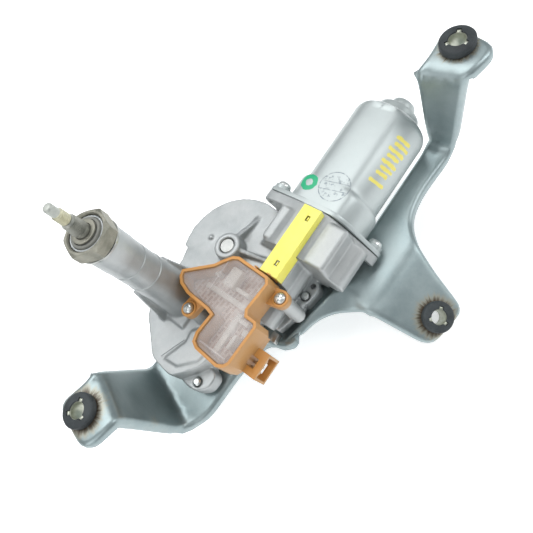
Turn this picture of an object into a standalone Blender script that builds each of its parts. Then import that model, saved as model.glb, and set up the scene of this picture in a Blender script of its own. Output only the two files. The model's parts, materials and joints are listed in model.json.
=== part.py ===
"""Rear windscreen wiper motor on its pressed bracket, as separate pieces.

Frame: the origin is on the wiper spindle's axis, at the top face of the bracket's main plate.
+Z runs up the spindle, +X runs along the motor towards its rear end, -Y is the motor's side.
Sizes below are in millimetres and are turned to metres by MM.
"""
import math

import bmesh
import bpy
from mathutils import Matrix, Vector

MM = 0.001
GAP = 0.3                      # clearance between pieces that touch or run in each other
MERGE = 1e-6                   # metres

# Bracket
SHEET = 2.0
RIM = 5.0                      # depth of the turned-down edge
EDGE = 2.1                     # depth where the edge is left plain, round the grommets
TAB_Z = 65.0                   # top face of the two side tabs
EAR_TILT = math.radians(34.0)
HOLE_R = 7.2
MOUNT_LEFT = (-71.1, -23.1, TAB_Z)
MOUNT_RIGHT = (172.2, -79.8, TAB_Z)
MOUNT_EAR = (69.0, -118.0, -17.5)
EAR_BEND_Y = -92.0

# Gear housing
BASE_Z = 3.3                   # open rim of the housing, above cover and gasket
ROOF_Z = 22.2
WALL = 2.4
FAN_R = 34.7
TUBE_R = 10.4
TUBE_TOP = 108.0
TUBE_SHOULDER = 98.9           # seat of the washer, above it the tube is threaded
THREAD_R = 9.2
BOSS_TOP = 31.0
PIN_R = 4.5

# Drive
WHEEL = (38.0, -10.0)          # worm wheel centre
WHEEL_PITCH = 31.0
WHEEL_TEETH = 48
WHEEL_Z = (13.0, 19.7)
MOTOR = (-47.5, 18.5)          # motor axis: y and z
WORM_LEAD = 2.0 * math.pi * WHEEL_PITCH / WHEEL_TEETH
SHAFT_R = 4.0
SHAFT_TIP = 132.8
NUT_R = 13.05                  # to the corners; 22.6 across the flats
NUT_Z = (101.0, 109.0)
PINION_PITCH = 10.0
PINION_TEETH = 20
SECTOR_PITCH = 11.0
SECTOR_TEETH = 22
LINK_LENGTH = PINION_PITCH + SECTOR_PITCH
LINK_ANGLE = math.radians(-115.0)
LINK_PIN = (LINK_LENGTH * math.cos(LINK_ANGLE), LINK_LENGTH * math.sin(LINK_ANGLE))
CRANK = 9.0                    # throw of the crank pin on the worm wheel
GEAR_Z = (7.0, 11.0)

# Motor
BODY_R = 22.0
BELL_R = 24.2                  # the wider front of the can
CAN_WALL = 1.8
JOINT_X = 78.0                 # plane where the motor meets the housing
CAN_END = 149.0
BLOCK_R = 22.5
LOBE_R = 5.6
LOBE = (27.5, 12.5)            # flange screw: distance in y and z from the motor axis

# Connector box
BOX_Z = (32.0, 48.0)
BOX_WALL = 1.6
EAR_SCREWS = ((27.5, -62.5), (-3.0, -19.5))
EAR_TOP = 38.0
BRACKET_SCREWS = ((-34.0, -35.0, 13.0), (38.5, -59.5, 10.5), (2.0, 21.8, 9.0))

COLOURS = {
    "zinc_sheet": ((0.36, 0.43, 0.44), 0.9, 0.42),
    "zinc_can": ((0.62, 0.66, 0.65), 0.9, 0.35),
    "cast_alloy": ((0.56, 0.58, 0.58), 0.8, 0.50),
    "steel": ((0.45, 0.45, 0.42), 1.0, 0.35),
    "old_steel": ((0.30, 0.29, 0.25), 0.9, 0.50),
    "brass": ((0.72, 0.52, 0.22), 1.0, 0.30),
    "copper": ((0.72, 0.33, 0.16), 1.0, 0.35),
    "rubber": ((0.045, 0.05, 0.052), 0.0, 0.70),
    "orange_plastic": ((0.60, 0.27, 0.06), 0.0, 0.40),
    "yellow_plastic": ((0.95, 0.88, 0.20), 0.0, 0.40),
    "clear_plastic": ((0.80, 0.72, 0.68), 0.0, 0.20),
    "white_plastic": ((0.75, 0.73, 0.66), 0.0, 0.45),
    "board": ((0.55, 0.36, 0.16), 0.0, 0.55),
    "ferrite": ((0.05, 0.05, 0.05), 0.0, 0.60),
}


def clear_scene():
    for old in list(bpy.data.objects):
        bpy.data.objects.remove(old, do_unlink=True)


def make_collection(name):
    group = bpy.data.collections.new(name)
    bpy.context.scene.collection.children.link(group)
    return group


def make_materials():
    made = {}
    for name, (colour, metallic, roughness) in COLOURS.items():
        mat = bpy.data.materials.new(name)
        mat.use_nodes = True
        shader = mat.node_tree.nodes["Principled BSDF"]
        shader.inputs["Base Color"].default_value = (*colour, 1.0)
        shader.inputs["Metallic"].default_value = metallic
        shader.inputs["Roughness"].default_value = roughness
        made[name] = mat
    return made


clear_scene()
PARTS = make_collection("rear_wiper_motor")
CUTTERS = make_collection("cutters")
MATERIALS = make_materials()


def add_frame(name, place, turn=(0.0, 0.0, 0.0)):
    """An empty on a joint's axis or a seat: pieces are made in its own frame."""
    empty = bpy.data.objects.new(name, None)
    empty.location = Vector(place) * MM
    empty.rotation_euler = turn
    PARTS.objects.link(empty)
    return empty


def add_piece(name, mesh, frame=None, mat=None):
    """Link a mesh as a named piece, or as a hidden cutter when it has no material."""
    piece = bpy.data.objects.new(name, mesh)
    if mat is None:
        piece.hide_render = True
        piece.display_type = "WIRE"
        CUTTERS.objects.link(piece)
    else:
        mesh.materials.append(MATERIALS[mat])
        PARTS.objects.link(piece)
    piece.parent = frame
    return piece


def turned(name, profile, frame=None, mat=None, centre=(0.0, 0.0), steps=20, ring=False):
    """A turned shape about Z: profile is (radius, z), from the top down the outer side."""
    mesh = bpy.data.meshes.new(name)
    bm = bmesh.new()
    verts = [bm.verts.new((r * MM, 0.0, z * MM)) for r, z in profile]
    for a, b in zip(verts, verts[1:]):
        bm.edges.new((a, b))
    if ring:
        bm.edges.new((verts[-1], verts[0]))
    bm.to_mesh(mesh)
    bm.free()
    piece = add_piece(name, mesh, frame, mat)
    piece.location = (centre[0] * MM, centre[1] * MM, 0.0)
    screw = piece.modifiers.new("turn", "SCREW")
    screw.steps = steps
    screw.render_steps = steps
    screw.use_merge_vertices = True
    screw.merge_threshold = MERGE
    screw.use_smooth_shade = True
    return piece


def tube(name, r_in, r_out, z0, z1, frame=None, mat=None, centre=(0.0, 0.0), steps=20):
    profile = [(r_out, z1), (r_out, z0), (r_in, z0), (r_in, z1)]
    return turned(name, profile, frame, mat, centre, steps, ring=True)


def rod(name, r, z0, z1, frame=None, mat=None, centre=(0.0, 0.0), steps=20):
    return turned(name, [(0.0, z1), (r, z1), (r, z0), (0.0, z0)], frame, mat, centre, steps)


def plate(name, loops, z0, z1, frame=None, mat=None):
    """A flat outline, with any holes as further loops, filled and given its thickness."""
    curve = bpy.data.curves.new(name, "CURVE")
    curve.dimensions = "2D"
    curve.fill_mode = "BOTH"
    curve.extrude = 0.5 * (z1 - z0) * MM
    for loop in loops:
        spline = curve.splines.new("POLY")
        spline.points.add(len(loop) - 1)
        for point, (x, y) in zip(spline.points, loop):
            point.co = (x * MM, y * MM, 0.0, 1.0)
        spline.use_cyclic_u = True
    draft = bpy.data.objects.new(name + "_curve", curve)
    CUTTERS.objects.link(draft)
    graph = bpy.context.evaluated_depsgraph_get()
    mesh = bpy.data.meshes.new_from_object(draft.evaluated_get(graph))
    bpy.data.objects.remove(draft, do_unlink=True)
    mesh.materials.clear()
    bm = bmesh.new()
    bm.from_mesh(mesh)
    bmesh.ops.remove_doubles(bm, verts=bm.verts, dist=MERGE)
    bmesh.ops.translate(bm, verts=bm.verts, vec=(0.0, 0.0, 0.5 * (z0 + z1) * MM))
    bmesh.ops.recalc_face_normals(bm, faces=bm.faces)
    bm.to_mesh(mesh)
    bm.free()
    return add_piece(name, mesh, frame, mat)


def block(name, low, high, frame=None, mat=None):
    mesh = bpy.data.meshes.new(name)
    bm = bmesh.new()
    bmesh.ops.create_cube(bm, size=1.0)
    size = (Vector(high) - Vector(low)) * MM
    bmesh.ops.scale(bm, verts=bm.verts, vec=size)
    bmesh.ops.translate(bm, verts=bm.verts, vec=(Vector(high) + Vector(low)) * 0.5 * MM)
    bm.to_mesh(mesh)
    bm.free()
    return add_piece(name, mesh, frame, mat)


def boolean(piece, tool, operation):
    mod = piece.modifiers.new(tool.name, "BOOLEAN")
    mod.operation = operation
    mod.solver = "EXACT"
    mod.object = tool


def cut(piece, *tools):
    for tool in tools:
        boolean(piece, tool, "DIFFERENCE")


def join(piece, *tools):
    for tool in tools:
        boolean(piece, tool, "UNION")


def arc(centre, radius, start, end, count):
    """Points along an arc, angles in degrees."""
    angles = [math.radians(start + (end - start) * i / count) for i in range(count + 1)]
    return [(centre[0] + radius * math.cos(a), centre[1] + radius * math.sin(a)) for a in angles]


def circle(centre, radius, count=24):
    return arc(centre, radius, 0.0, 360.0 * (count - 1) / count, count - 1)


def rounded(points, radius, count=3):
    """The polygon with each corner replaced by a short arc (a quadratic blend)."""
    result = []
    total = len(points)
    for i, corner in enumerate(points):
        here = Vector(corner)
        before = Vector(points[i - 1]) - here
        after = Vector(points[(i + 1) % total]) - here
        reach = min(radius, 0.45 * before.length, 0.45 * after.length)
        first = here + before.normalized() * reach
        last = here + after.normalized() * reach
        for step in range(count + 1):
            t = step / count
            point = first * (1 - t) ** 2 + here * (2 * t * (1 - t)) + last * t * t
            result.append((point.x, point.y))
    return result


def inset(points, distance):
    """Move each side of an anticlockwise polygon inwards."""
    result = []
    total = len(points)
    for i in range(total):
        here = Vector(points[i])
        before = (here - Vector(points[i - 1])).normalized()
        after = (Vector(points[(i + 1) % total]) - here).normalized()
        normal = Vector((-before.y, before.x)) + Vector((-after.y, after.x))
        normal.normalize()
        share = max(0.4, normal.dot(Vector((-after.y, after.x))))
        moved = here + normal * (distance / share)
        result.append((moved.x, moved.y))
    return result


def hull(circles, count=24):
    """The outline of a band drawn tight round several circles, anticlockwise."""
    cloud = sorted({p for x, y, r in circles for p in circle((x, y), r, count)})

    def chain(points):
        kept = []
        for p in points:
            while len(kept) > 1:
                a, b = kept[-2], kept[-1]
                if (b[0] - a[0]) * (p[1] - a[1]) - (b[1] - a[1]) * (p[0] - a[0]) > 1e-6:
                    break
                kept.pop()
            kept.append(p)
        return kept[:-1]

    return chain(cloud) + chain(cloud[::-1])


def tooth_points(pitch_r, teeth, angles, centre):
    """Trapezoid teeth of module pitch_r * 2 / teeth, slim enough to run with backlash."""
    module = 2.0 * pitch_r / teeth
    shape = ((-0.90, -1.10), (-0.33, 0.80), (0.33, 0.80), (0.90, -1.10))
    points = []
    for angle in angles:
        for along, up in shape:
            radius = pitch_r + up * module
            a = angle + along * module / radius
            points.append((centre[0] + radius * math.cos(a), centre[1] + radius * math.sin(a)))
    return points


def gear_outline(pitch_r, teeth, first, centre=(0.0, 0.0)):
    angles = [first + 2.0 * math.pi * i / teeth for i in range(teeth)]
    return tooth_points(pitch_r, teeth, angles, centre)


OUTPUT_AXIS = add_frame("output_axis", (0.0, 0.0, 0.0))
LINK_AXIS = add_frame("link_axis", (0.0, 0.0, 0.0))
SECTOR_AXIS = add_frame("sector_axis", (*LINK_PIN, 0.0))
WHEEL_AXIS = add_frame("wheel_axis", (*WHEEL, 0.0))
# Local z of these two runs along world x, local x runs down and local y stays y.
ARMATURE_AXIS = add_frame("armature_axis", (0.0, *MOTOR), (0.0, math.pi / 2, 0.0))
MOTOR_SEAT = add_frame("motor_seat", (0.0, *MOTOR), (0.0, math.pi / 2, 0.0))
SEATS = {
    "left": add_frame("seat_left", MOUNT_LEFT),
    "right": add_frame("seat_right", MOUNT_RIGHT),
    "ear": add_frame("seat_ear", MOUNT_EAR, (EAR_TILT, 0.0, 0.0)),
}


# ---------------------------------------------------------------- bracket

def ear_z(y):
    """Height of the ear's plane; it falls away from its bend towards -y."""
    return MOUNT_EAR[2] + (y - MOUNT_EAR[1]) * math.tan(EAR_TILT)


def make_bracket():
    left_tab = arc((-73.5, -14.0), 6.5, 100.0, 165.0, 3) + arc((-77.5, -32.5), 6.5, 175.0, 270.0, 3)
    right_tab = arc((173.5, -91.0), 6.0, 255.0, 350.0, 3) + arc((173.5, -77.0), 9.5, 10.0, 120.0, 4)
    ear = ([(51.5, -104.0)] + arc((59.5, -119.0), 6.0, 190.0, 270.0, 3)
           + arc((78.0, -121.5), 6.0, 280.0, 350.0, 3) + [(90.0, -107.0)])
    tab = {
        "top_a": (-52.0, -15.0, TAB_Z), "top_b": (-62.5, -42.5, TAB_Z),
        "foot_a": (-46.0, 6.0, 0.0), "foot_b": (-61.0, -38.0, 0.0),
        "rise_a": (154.0, -64.0, 0.0), "rise_b": (157.0, -81.0, 0.0),
        "head_a": (152.5, -68.0, TAB_Z), "head_b": (157.0, -93.0, TAB_Z),
    }
    foot = [(8.0, -57.5, 0.0), (40.0, -65.0, 0.0), (60.0, -68.6, 0.0)]
    ridge = [(10.0, -61.0, 7.0), (41.0, -67.4, 8.5), (60.0, -71.4, 5.5)]
    fade = (71.0, -74.0, 0.0)
    bend = [(50.0, EAR_BEND_Y, ear_z(EAR_BEND_Y)), (97.5, EAR_BEND_Y, ear_z(EAR_BEND_Y))]
    under = [(-49.0, -45.0, 0.0), (-17.0, -46.0, 0.0), (6.0, -50.0, 0.0)]
    arm = [(103.0, -85.5, 0.0), (112.0, -80.5, 0.0), (125.0, -78.5, 0.0), (141.0, -79.0, 0.0)]
    back = [(148.0, -64.0, 0.0), (76.0, -64.0, 0.0), (74.0, -60.0, 0.0), (74.0, -2.0, 0.0),
            (62.0, 10.0, 0.0), (16.0, 14.0, 0.0), (14.0, 31.0, 0.0), (-10.0, 31.0, 0.0),
            (-20.0, 14.0, 0.0)]

    bm = bmesh.new()
    known = {}

    def vert(point):
        if point not in known:
            known[point] = bm.verts.new(Vector(point) * MM)
        return known[point]

    def panel(points):
        bm.faces.new([vert(p) for p in points])

    flat = [(x, y, TAB_Z) for x, y in left_tab]
    panel([tab["top_a"], *flat, tab["top_b"]])
    panel([tab["foot_a"], tab["top_a"], tab["top_b"], tab["foot_b"]])
    panel([tab["foot_a"], tab["foot_b"], *under, *foot, fade, bend[1], *arm, tab["rise_b"],
           tab["rise_a"], *back])
    panel([tab["rise_a"], tab["rise_b"], tab["head_b"], tab["head_a"]])
    flat = [(x, y, TAB_Z) for x, y in right_tab]
    panel([tab["head_a"], tab["head_b"], *flat])
    panel([foot[0], ridge[0], ridge[1], foot[1]][::-1])
    panel([foot[1], ridge[1], ridge[2], foot[2]][::-1])
    panel([foot[2], ridge[2], fade][::-1])
    side = (46.0, -80.0, 2.5)
    panel([ridge[1], side, bend[0], bend[1], fade, ridge[2]])
    panel([bend[0], *[(x, y, ear_z(y)) for x, y in ear], bend[1]])

    bmesh.ops.recalc_face_normals(bm, faces=bm.faces)
    if sum(f.normal.z * f.calc_area() for f in bm.faces) < 0.0:
        bmesh.ops.reverse_faces(bm, faces=bm.faces)
    bm.normal_update()
    edge_verts = {v for e in bm.edges if e.is_boundary for v in e.verts}
    plain = {v for v in edge_verts if v.co.z > 0.99 * TAB_Z * MM or v.co.y < -0.1}
    downs = {v: -v.normal * (EDGE if v in plain else RIM) * MM for v in edge_verts}
    for point in ridge[:2]:
        downs[known[point]] = Vector((0.0, -3.5, -5.5)) * MM
    edges = [e for e in bm.edges if e.is_boundary]
    made = bmesh.ops.extrude_edge_only(bm, edges=edges)
    fresh = [v for v in made["geom"] if isinstance(v, bmesh.types.BMVert)]
    for v in fresh:
        source = min(edge_verts, key=lambda old: (old.co - v.co).length)
        v.co += downs[source]
    bmesh.ops.recalc_face_normals(bm, faces=bm.faces)
    if sum(f.normal.z * f.calc_area() for f in bm.faces) < 0.0:
        bmesh.ops.reverse_faces(bm, faces=bm.faces)
    mesh = bpy.data.meshes.new("bracket")
    bm.to_mesh(mesh)
    bm.free()
    bracket = add_piece("bracket", mesh, None, "zinc_sheet")
    solid = bracket.modifiers.new("sheet", "SOLIDIFY")
    solid.thickness = SHEET * MM
    solid.offset = -1.0
    for side_name, seat in SEATS.items():
        cut(bracket, rod("bracket_hole_" + side_name, HOLE_R, -6.0, 4.0, seat, steps=24))
    for number, (x, y, _) in enumerate(BRACKET_SCREWS, 1):
        hole = rod("bracket_screw_hole_%d" % number, 2.9, -5.0, 3.0, None, None, (x, y), 16)
        cut(bracket, hole)


def make_seats():
    """A grooved rubber grommet in each bracket hole, with a steel collar inside it."""
    for side_name, seat in SEATS.items():
        low = -SHEET - GAP
        profile = [(5.1, 4.6), (8.0, 4.6), (8.8, 3.8), (8.8, GAP), (HOLE_R - GAP, GAP),
                   (HOLE_R - GAP, low), (8.3, low), (8.3, low - 2.4), (7.7, low - 3.0),
                   (5.1, low - 3.0)]
        turned("grommet_" + side_name, profile, seat, "rubber", ring=True)
        tube("collar_" + side_name, 4.0, 4.8, low - 3.3, 4.9, seat, "steel")


# ---------------------------------------------------------------- gear housing

def lobe_outline():
    corners = [(17.0, 17.5), (-19.0, 16.0), (-38.0, -6.0), (-40.0, -24.0), (-26.0, -36.0),
               (8.0, -45.0)]
    return rounded(corners, 4.0, 3)[4:-4]


def base_outline():
    fan = arc(WHEEL, FAN_R, -20.0, 110.0, 16)
    return lobe_outline() + [(8.0, -45.0), (71.5, -45.0)] + fan + [(26.0, 20.0), (17.0, 17.5)]


def cavity_outline():
    """The outline without the fan, whose space is turned separately."""
    return lobe_outline() + [(8.0, -45.0), (71.0, -45.0), (71.0, -12.0), (30.0, 17.0)]


def seat_outline(circles):
    """An outline square to the motor axis from (y, z, radius) circles in world terms."""
    return hull([(MOTOR[1] - z, y - MOTOR[0], r) for y, z, r in circles])


LOBES = [(MOTOR[0] + LOBE[0], MOTOR[1] + LOBE[1], LOBE_R),
         (MOTOR[0] - LOBE[0], MOTOR[1] - LOBE[1], LOBE_R)]


def make_housing():
    outline = base_outline()
    housing = plate("gear_housing", [outline], BASE_Z, ROOF_Z, None, "cast_alloy")
    pivot = turned("housing_tube", [
        (0.0, TUBE_TOP), (THREAD_R, TUBE_TOP), (THREAD_R, TUBE_SHOULDER),
        (TUBE_R + 0.2, TUBE_SHOULDER), (TUBE_R + 0.2, 84.9), (TUBE_R, 84.6), (TUBE_R, 77.6),
        (TUBE_R - 0.4, 77.3), (TUBE_R - 0.4, 76.7), (TUBE_R, 76.4), (TUBE_R, 62.9),
        (TUBE_R + 0.3, 62.6), (11.2, 40.0), (12.2, 27.0), (13.6, 21.0), (0.0, 21.0)], steps=28)
    wings = plate("housing_wings", [[(-17.5, 12.0), (17.0, 12.0), (14.6, 34.0), (12.0, 52.0),
                                     (-12.8, 54.0), (-17.5, 26.0)]], -6.0, -1.2)
    wings.rotation_euler = (math.pi / 2, 0.0, 0.0)
    boss = turned("housing_boss", [(0.0, BOSS_TOP), (7.4, BOSS_TOP), (8.2, 30.2), (8.8, 21.0),
                                   (0.0, 21.0)], None, None, WHEEL)
    tunnel = rod("housing_tunnel", 11.0, 13.0, 52.5, MOTOR_SEAT)
    body = plate("housing_block", [seat_outline([(*MOTOR, BLOCK_R), (-71.0, 17.0, 8.0),
                                                 (-38.0, 14.0, 17.0)])], 50.0, 74.0, MOTOR_SEAT)
    collar = plate("housing_flange", [seat_outline([(*MOTOR, BLOCK_R)] + LOBES)],
                   72.0, JOINT_X - GAP, MOTOR_SEAT)
    pad = block("housing_pad", (34.0, -56.5, 20.0), (51.0, -42.0, 34.5))
    lug_1 = plate("housing_lug_1", [rounded([(-39.0, -24.0), (-39.5, -36.0), (-34.0, -43.0),
                                             (-24.5, -43.0), (-22.0, -30.0)], 4.0)], BASE_Z, 13.0)
    lug_2 = plate("housing_lug_2", [rounded([(34.0, -62.4), (46.0, -64.2), (51.0, -58.0),
                                             (51.0, -50.0), (32.0, -50.0)], 3.0)], GAP, 10.5)
    lug_3 = plate("housing_lug_3", [rounded([(-6.0, 12.0), (10.0, 12.0), (9.0, 27.5),
                                             (-5.0, 27.5)], 4.0)], BASE_Z, 9.0)
    feet = [rod("housing_foot_%d" % i, 4.0, GAP, 6.0, None, None, (x, y), 20)
            for i, (x, y, _) in enumerate(BRACKET_SCREWS, 1) if i != 2]
    post_right = rod("housing_post_right", 4.2, 10.0, 33.7, None, None, EAR_SCREWS[0], 20)
    post_web = block("housing_post_web", (25.9, -61.5, 11.0), (29.1, -50.0, 31.0))
    post_left = rod("housing_post_left", 4.2, 20.0, 33.7, None, None, EAR_SCREWS[1], 20)
    join(housing, pivot, wings, boss, tunnel, body, collar, pad, lug_1, lug_2, lug_3,
         *feet, post_right, post_web, post_left)

    rib_top = [(5.6, 20.6), (27.0, 20.6), (25.0, 22.4), (6.4, 29.5), (5.6, 29.5)]
    for number, turn in enumerate((-4.0, -78.0), 1):
        rib = plate("housing_rib_%d" % number, [rib_top], -1.4, 1.4)
        rib.location = Vector((*WHEEL, 0.0)) * MM
        rib.rotation_euler = (math.pi / 2, 0.0, math.radians(turn))
        join(housing, rib)

    gears = plate("housing_gear_space", [inset(cavity_outline(), WALL)], BASE_Z - 1.0,
                  ROOF_Z - WALL)
    wheel_space = rod("housing_wheel_space", FAN_R - WALL, BASE_Z - 1.5, ROOF_Z - WALL + GAP,
                      None, None, WHEEL, 40)
    worm_space = rod("housing_worm_space", 8.6, 15.6, 54.0, MOTOR_SEAT)
    brush_space = rod("housing_brush_space", 16.5, 52.0, JOINT_X + 1.0, MOTOR_SEAT)
    bore = turned("housing_bore", [(0.0, TUBE_TOP + 1.0), (8.3, TUBE_TOP + 1.0), (8.3, 105.2),
                                   (6.3, 105.2), (6.3, 15.0), (0.0, 15.0)], steps=24)
    pin_hole = rod("housing_pin_hole", PIN_R + GAP, 15.0, BOSS_TOP + 1.0, None, None, WHEEL, 28)
    slots = block("housing_bar_slot", (36.5, -54.5, 25.0), (49.0, -48.5, 36.0))
    floor = block("housing_floor_cut", (49.0, -95.0, -20.0), (71.8, -5.0, BASE_Z))
    low = block("housing_low_cut", (71.0, -95.0, -20.0), (80.0, -5.0, GAP + 0.1))
    over = block("housing_ridge_cut", (47.0, -95.0, -20.0), (71.8, -65.5, 9.0))
    corner = block("housing_corner_cut", (70.5, -95.0, -20.0), (81.0, -72.0, 4.4))
    cut(housing, floor, low, over, corner, gears, wheel_space, worm_space, brush_space, bore, slots,
        pin_hole)
    for number, (x, y, top) in enumerate(BRACKET_SCREWS, 1):
        hole = rod("lug_hole_%d" % number, 2.75, -1.0, top + 1.0, None, None, (x, y), 16)
        cut(housing, hole)
    for number, (x, y) in enumerate(EAR_SCREWS, 1):
        hole = rod("post_hole_%d" % number, 2.0, 24.0, 35.0, None, None, (x, y), 16)
        cut(housing, hole)
    for number, (y, z, _) in enumerate(LOBES, 1):
        hole = rod("flange_hole_%d" % number, 2.3, 71.0, JOINT_X + 1.0, MOTOR_SEAT, None,
                   (MOTOR[1] - z, y - MOTOR[0]), 16)
        cut(housing, hole)


def make_covers():
    """The steel plate that closes the gear housing from below, and its gasket."""
    outline = base_outline()
    plate("gear_cover", [inset(outline, 0.3)], GAP, 2.0, None, "zinc_sheet")
    gasket = plate("cover_gasket", [inset(outline, 0.5)], 2.3, BASE_Z - GAP, None, "rubber")
    cut(gasket, plate("gasket_space", [inset(cavity_outline(), WALL)], 1.0, 5.0),
        rod("gasket_wheel_space", FAN_R - WALL, 0.5, 4.5, None, None, WHEEL, 40))


# ---------------------------------------------------------------- spindle and its fittings

def make_spindle():
    turned("output_shaft", [
        (0.0, SHAFT_TIP), (1.7, SHAFT_TIP), (2.35, SHAFT_TIP - 0.6), (2.35, 127.2), (3.0, 126.6),
        (3.0, 120.8), (3.7, 119.6), (4.3, 112.6), (SHAFT_R, 112.0), (SHAFT_R, 3.4),
        (0.0, 3.4)], OUTPUT_AXIS, "steel")
    tube("shaft_circlip", SHAFT_R + GAP, 6.4, 109.5, 110.4, OUTPUT_AXIS, "steel")
    gear = gear_outline(PINION_PITCH, PINION_TEETH, LINK_ANGLE)
    plate("output_pinion", [gear, circle((0.0, 0.0), SHAFT_R + GAP)], 6.5, 11.6, OUTPUT_AXIS,
          "steel")
    tube("upper_bush", SHAFT_R + GAP, 6.0, 92.0, 104.9, None, "brass")
    tube("lower_bush", SHAFT_R + GAP, 6.0, 20.5, 40.0, None, "brass")
    tube("shaft_seal", SHAFT_R + GAP, 8.0, 105.5, 109.1, None, "rubber")
    tube("pivot_washer", THREAD_R + GAP, 11.7, TUBE_SHOULDER + GAP, 100.7, None, "steel")
    mesh = bpy.data.meshes.new("pivot_nut")
    bm = bmesh.new()
    bmesh.ops.create_cone(bm, cap_ends=True, segments=6, radius1=NUT_R * MM, radius2=NUT_R * MM,
                          depth=(NUT_Z[1] - NUT_Z[0]) * MM)
    bmesh.ops.rotate(bm, verts=bm.verts, cent=(0, 0, 0),
                     matrix=Matrix.Rotation(math.radians(12.0), 3, "Z"))
    bmesh.ops.translate(bm, verts=bm.verts, vec=(0.0, 0.0, 0.5 * sum(NUT_Z) * MM))
    bm.to_mesh(mesh)
    bm.free()
    nut = add_piece("pivot_nut", mesh, None, "old_steel")
    cut(nut, rod("nut_bore", THREAD_R + GAP, NUT_Z[0] - 2.0, NUT_Z[1] + 2.0))


# ---------------------------------------------------------------- gear train

def make_worm_wheel():
    gear = gear_outline(WHEEL_PITCH, WHEEL_TEETH, math.radians(-90.0))
    wheel = plate("worm_wheel", [gear, circle((0.0, 0.0), PIN_R + GAP)], *WHEEL_Z, WHEEL_AXIS,
                  "white_plastic")
    cut(wheel, tube("wheel_dish", 9.0, 25.0, 16.5, 22.0, WHEEL_AXIS, None, steps=32))
    rod("crank_pin", 3.0, GEAR_Z[1] + GAP, WHEEL_Z[0] - GAP, WHEEL_AXIS, "steel", (0.0, -CRANK), 20)
    turned("wheel_pin", [(0.0, 30.2), (PIN_R - 0.5, 30.2), (PIN_R, 29.7), (PIN_R, 12.7),
                         (0.0, 12.7)], None, "steel", WHEEL)


def make_linkage():
    """The sector arm, which the crank drives, and the link that keeps it in mesh."""
    toward = LINK_ANGLE + math.pi
    half = math.pi / SECTOR_TEETH
    angles = [toward + half * (2 * i - 5) for i in range(6)]
    teeth = tooth_points(SECTOR_PITCH, SECTOR_TEETH, angles, (0.0, 0.0))
    arm_end = (WHEEL[0] - LINK_PIN[0], WHEEL[1] - CRANK - LINK_PIN[1])
    sector = plate("sector_gear", [teeth + [(-5.0, 3.0), (-5.5, -2.0), (-2.5, -5.8),
                                            (2.5, -5.8), (6.5, -1.0)]], *GEAR_Z, SECTOR_AXIS,
                   "steel")
    route = [(0.0, -2.0), (14.0, -7.0), (32.0, -6.5), arm_end]
    for number, (a, b) in enumerate(zip(route, route[1:]), 1):
        join(sector, plate("arm_part_%d" % number, [hull([(*a, 3.5), (*b, 3.5)], 16)],
                           GEAR_Z[0], GEAR_Z[1], SECTOR_AXIS))
    join(sector, rod("arm_eye", 6.0, *GEAR_Z, SECTOR_AXIS, None, arm_end, 20))
    cut(sector, rod("arm_eye_hole", 3.4, 5.0, 13.0, SECTOR_AXIS, None, arm_end, 20),
        rod("sector_hole", 3.3, 5.0, 13.0, SECTOR_AXIS, None, (0.0, 0.0), 20))
    plate("link_plate", [hull([(0.0, 0.0, 7.5), (*LINK_PIN, 6.0)], 20),
                         circle((0.0, 0.0), SHAFT_R + GAP), circle(LINK_PIN, 3.3, 20)],
          4.2, 6.2, LINK_AXIS, "steel")
    turned("link_pin", [(0.0, 12.4), (4.4, 12.4), (4.4, GEAR_Z[1] + GAP), (3.0, GEAR_Z[1] + GAP),
                        (3.0, 3.9), (0.0, 3.9)], LINK_AXIS, "steel", LINK_PIN, 20)


# ---------------------------------------------------------------- motor

def make_armature():
    shaft = turned("armature_shaft", [
        (0.0, 154.0), (3.0, 154.0), (3.0, 51.0), (5.3, 50.0), (5.3, 25.0), (3.0, 24.0),
        (3.0, 16.4), (0.0, 16.4)], ARMATURE_AXIS, "steel", steps=24)
    curve = bpy.data.curves.new("worm_thread", "CURVE")
    curve.dimensions = "3D"
    curve.bevel_depth = 0.75 * MM
    curve.bevel_resolution = 0
    curve.use_fill_caps = True
    turns, per_turn = 5, 12
    spline = curve.splines.new("POLY")
    spline.points.add(turns * per_turn)
    middle = 0.5 * turns * WORM_LEAD
    for i, point in enumerate(spline.points):
        a = 2.0 * math.pi * i / per_turn
        along = WHEEL[0] - middle + WORM_LEAD * i / per_turn
        point.co = (5.7 * math.sin(a) * MM, 5.7 * math.cos(a) * MM, along * MM, 1.0)
    draft = bpy.data.objects.new("worm_thread_curve", curve)
    CUTTERS.objects.link(draft)
    graph = bpy.context.evaluated_depsgraph_get()
    mesh = bpy.data.meshes.new_from_object(draft.evaluated_get(graph))
    bpy.data.objects.remove(draft, do_unlink=True)
    bm = bmesh.new()
    bm.from_mesh(mesh)
    bmesh.ops.remove_doubles(bm, verts=bm.verts, dist=MERGE)
    bmesh.ops.recalc_face_normals(bm, faces=bm.faces)
    bm.to_mesh(mesh)
    bm.free()
    join(shaft, add_piece("worm_thread", mesh, ARMATURE_AXIS))
    core = tube("armature_core", 3.0 + GAP, 13.2, 88.0, 124.0, ARMATURE_AXIS, "ferrite", steps=40)
    for number in range(8):
        a = 2.0 * math.pi * (number + 0.5) / 8
        slot = rod("core_slot_%d" % number, 1.2, 86.0, 126.0, ARMATURE_AXIS, None,
                   (13.0 * math.cos(a), 13.0 * math.sin(a)), 8)
        cut(core, slot)
    for name, z0, z1 in (("winding_front", 79.5, 87.7), ("winding_rear", 124.3, 133.0)):
        profile = [(4.0, z1), (9.5, z1), (12.0, z1 - 2.5), (12.0, z0 + 2.5), (9.5, z0), (4.0, z0)]
        turned(name, profile, ARMATURE_AXIS, "copper", steps=24, ring=True)
    tube("commutator", 3.0 + GAP, 9.0, 58.0, 71.0, ARMATURE_AXIS, "copper", steps=24)


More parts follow.
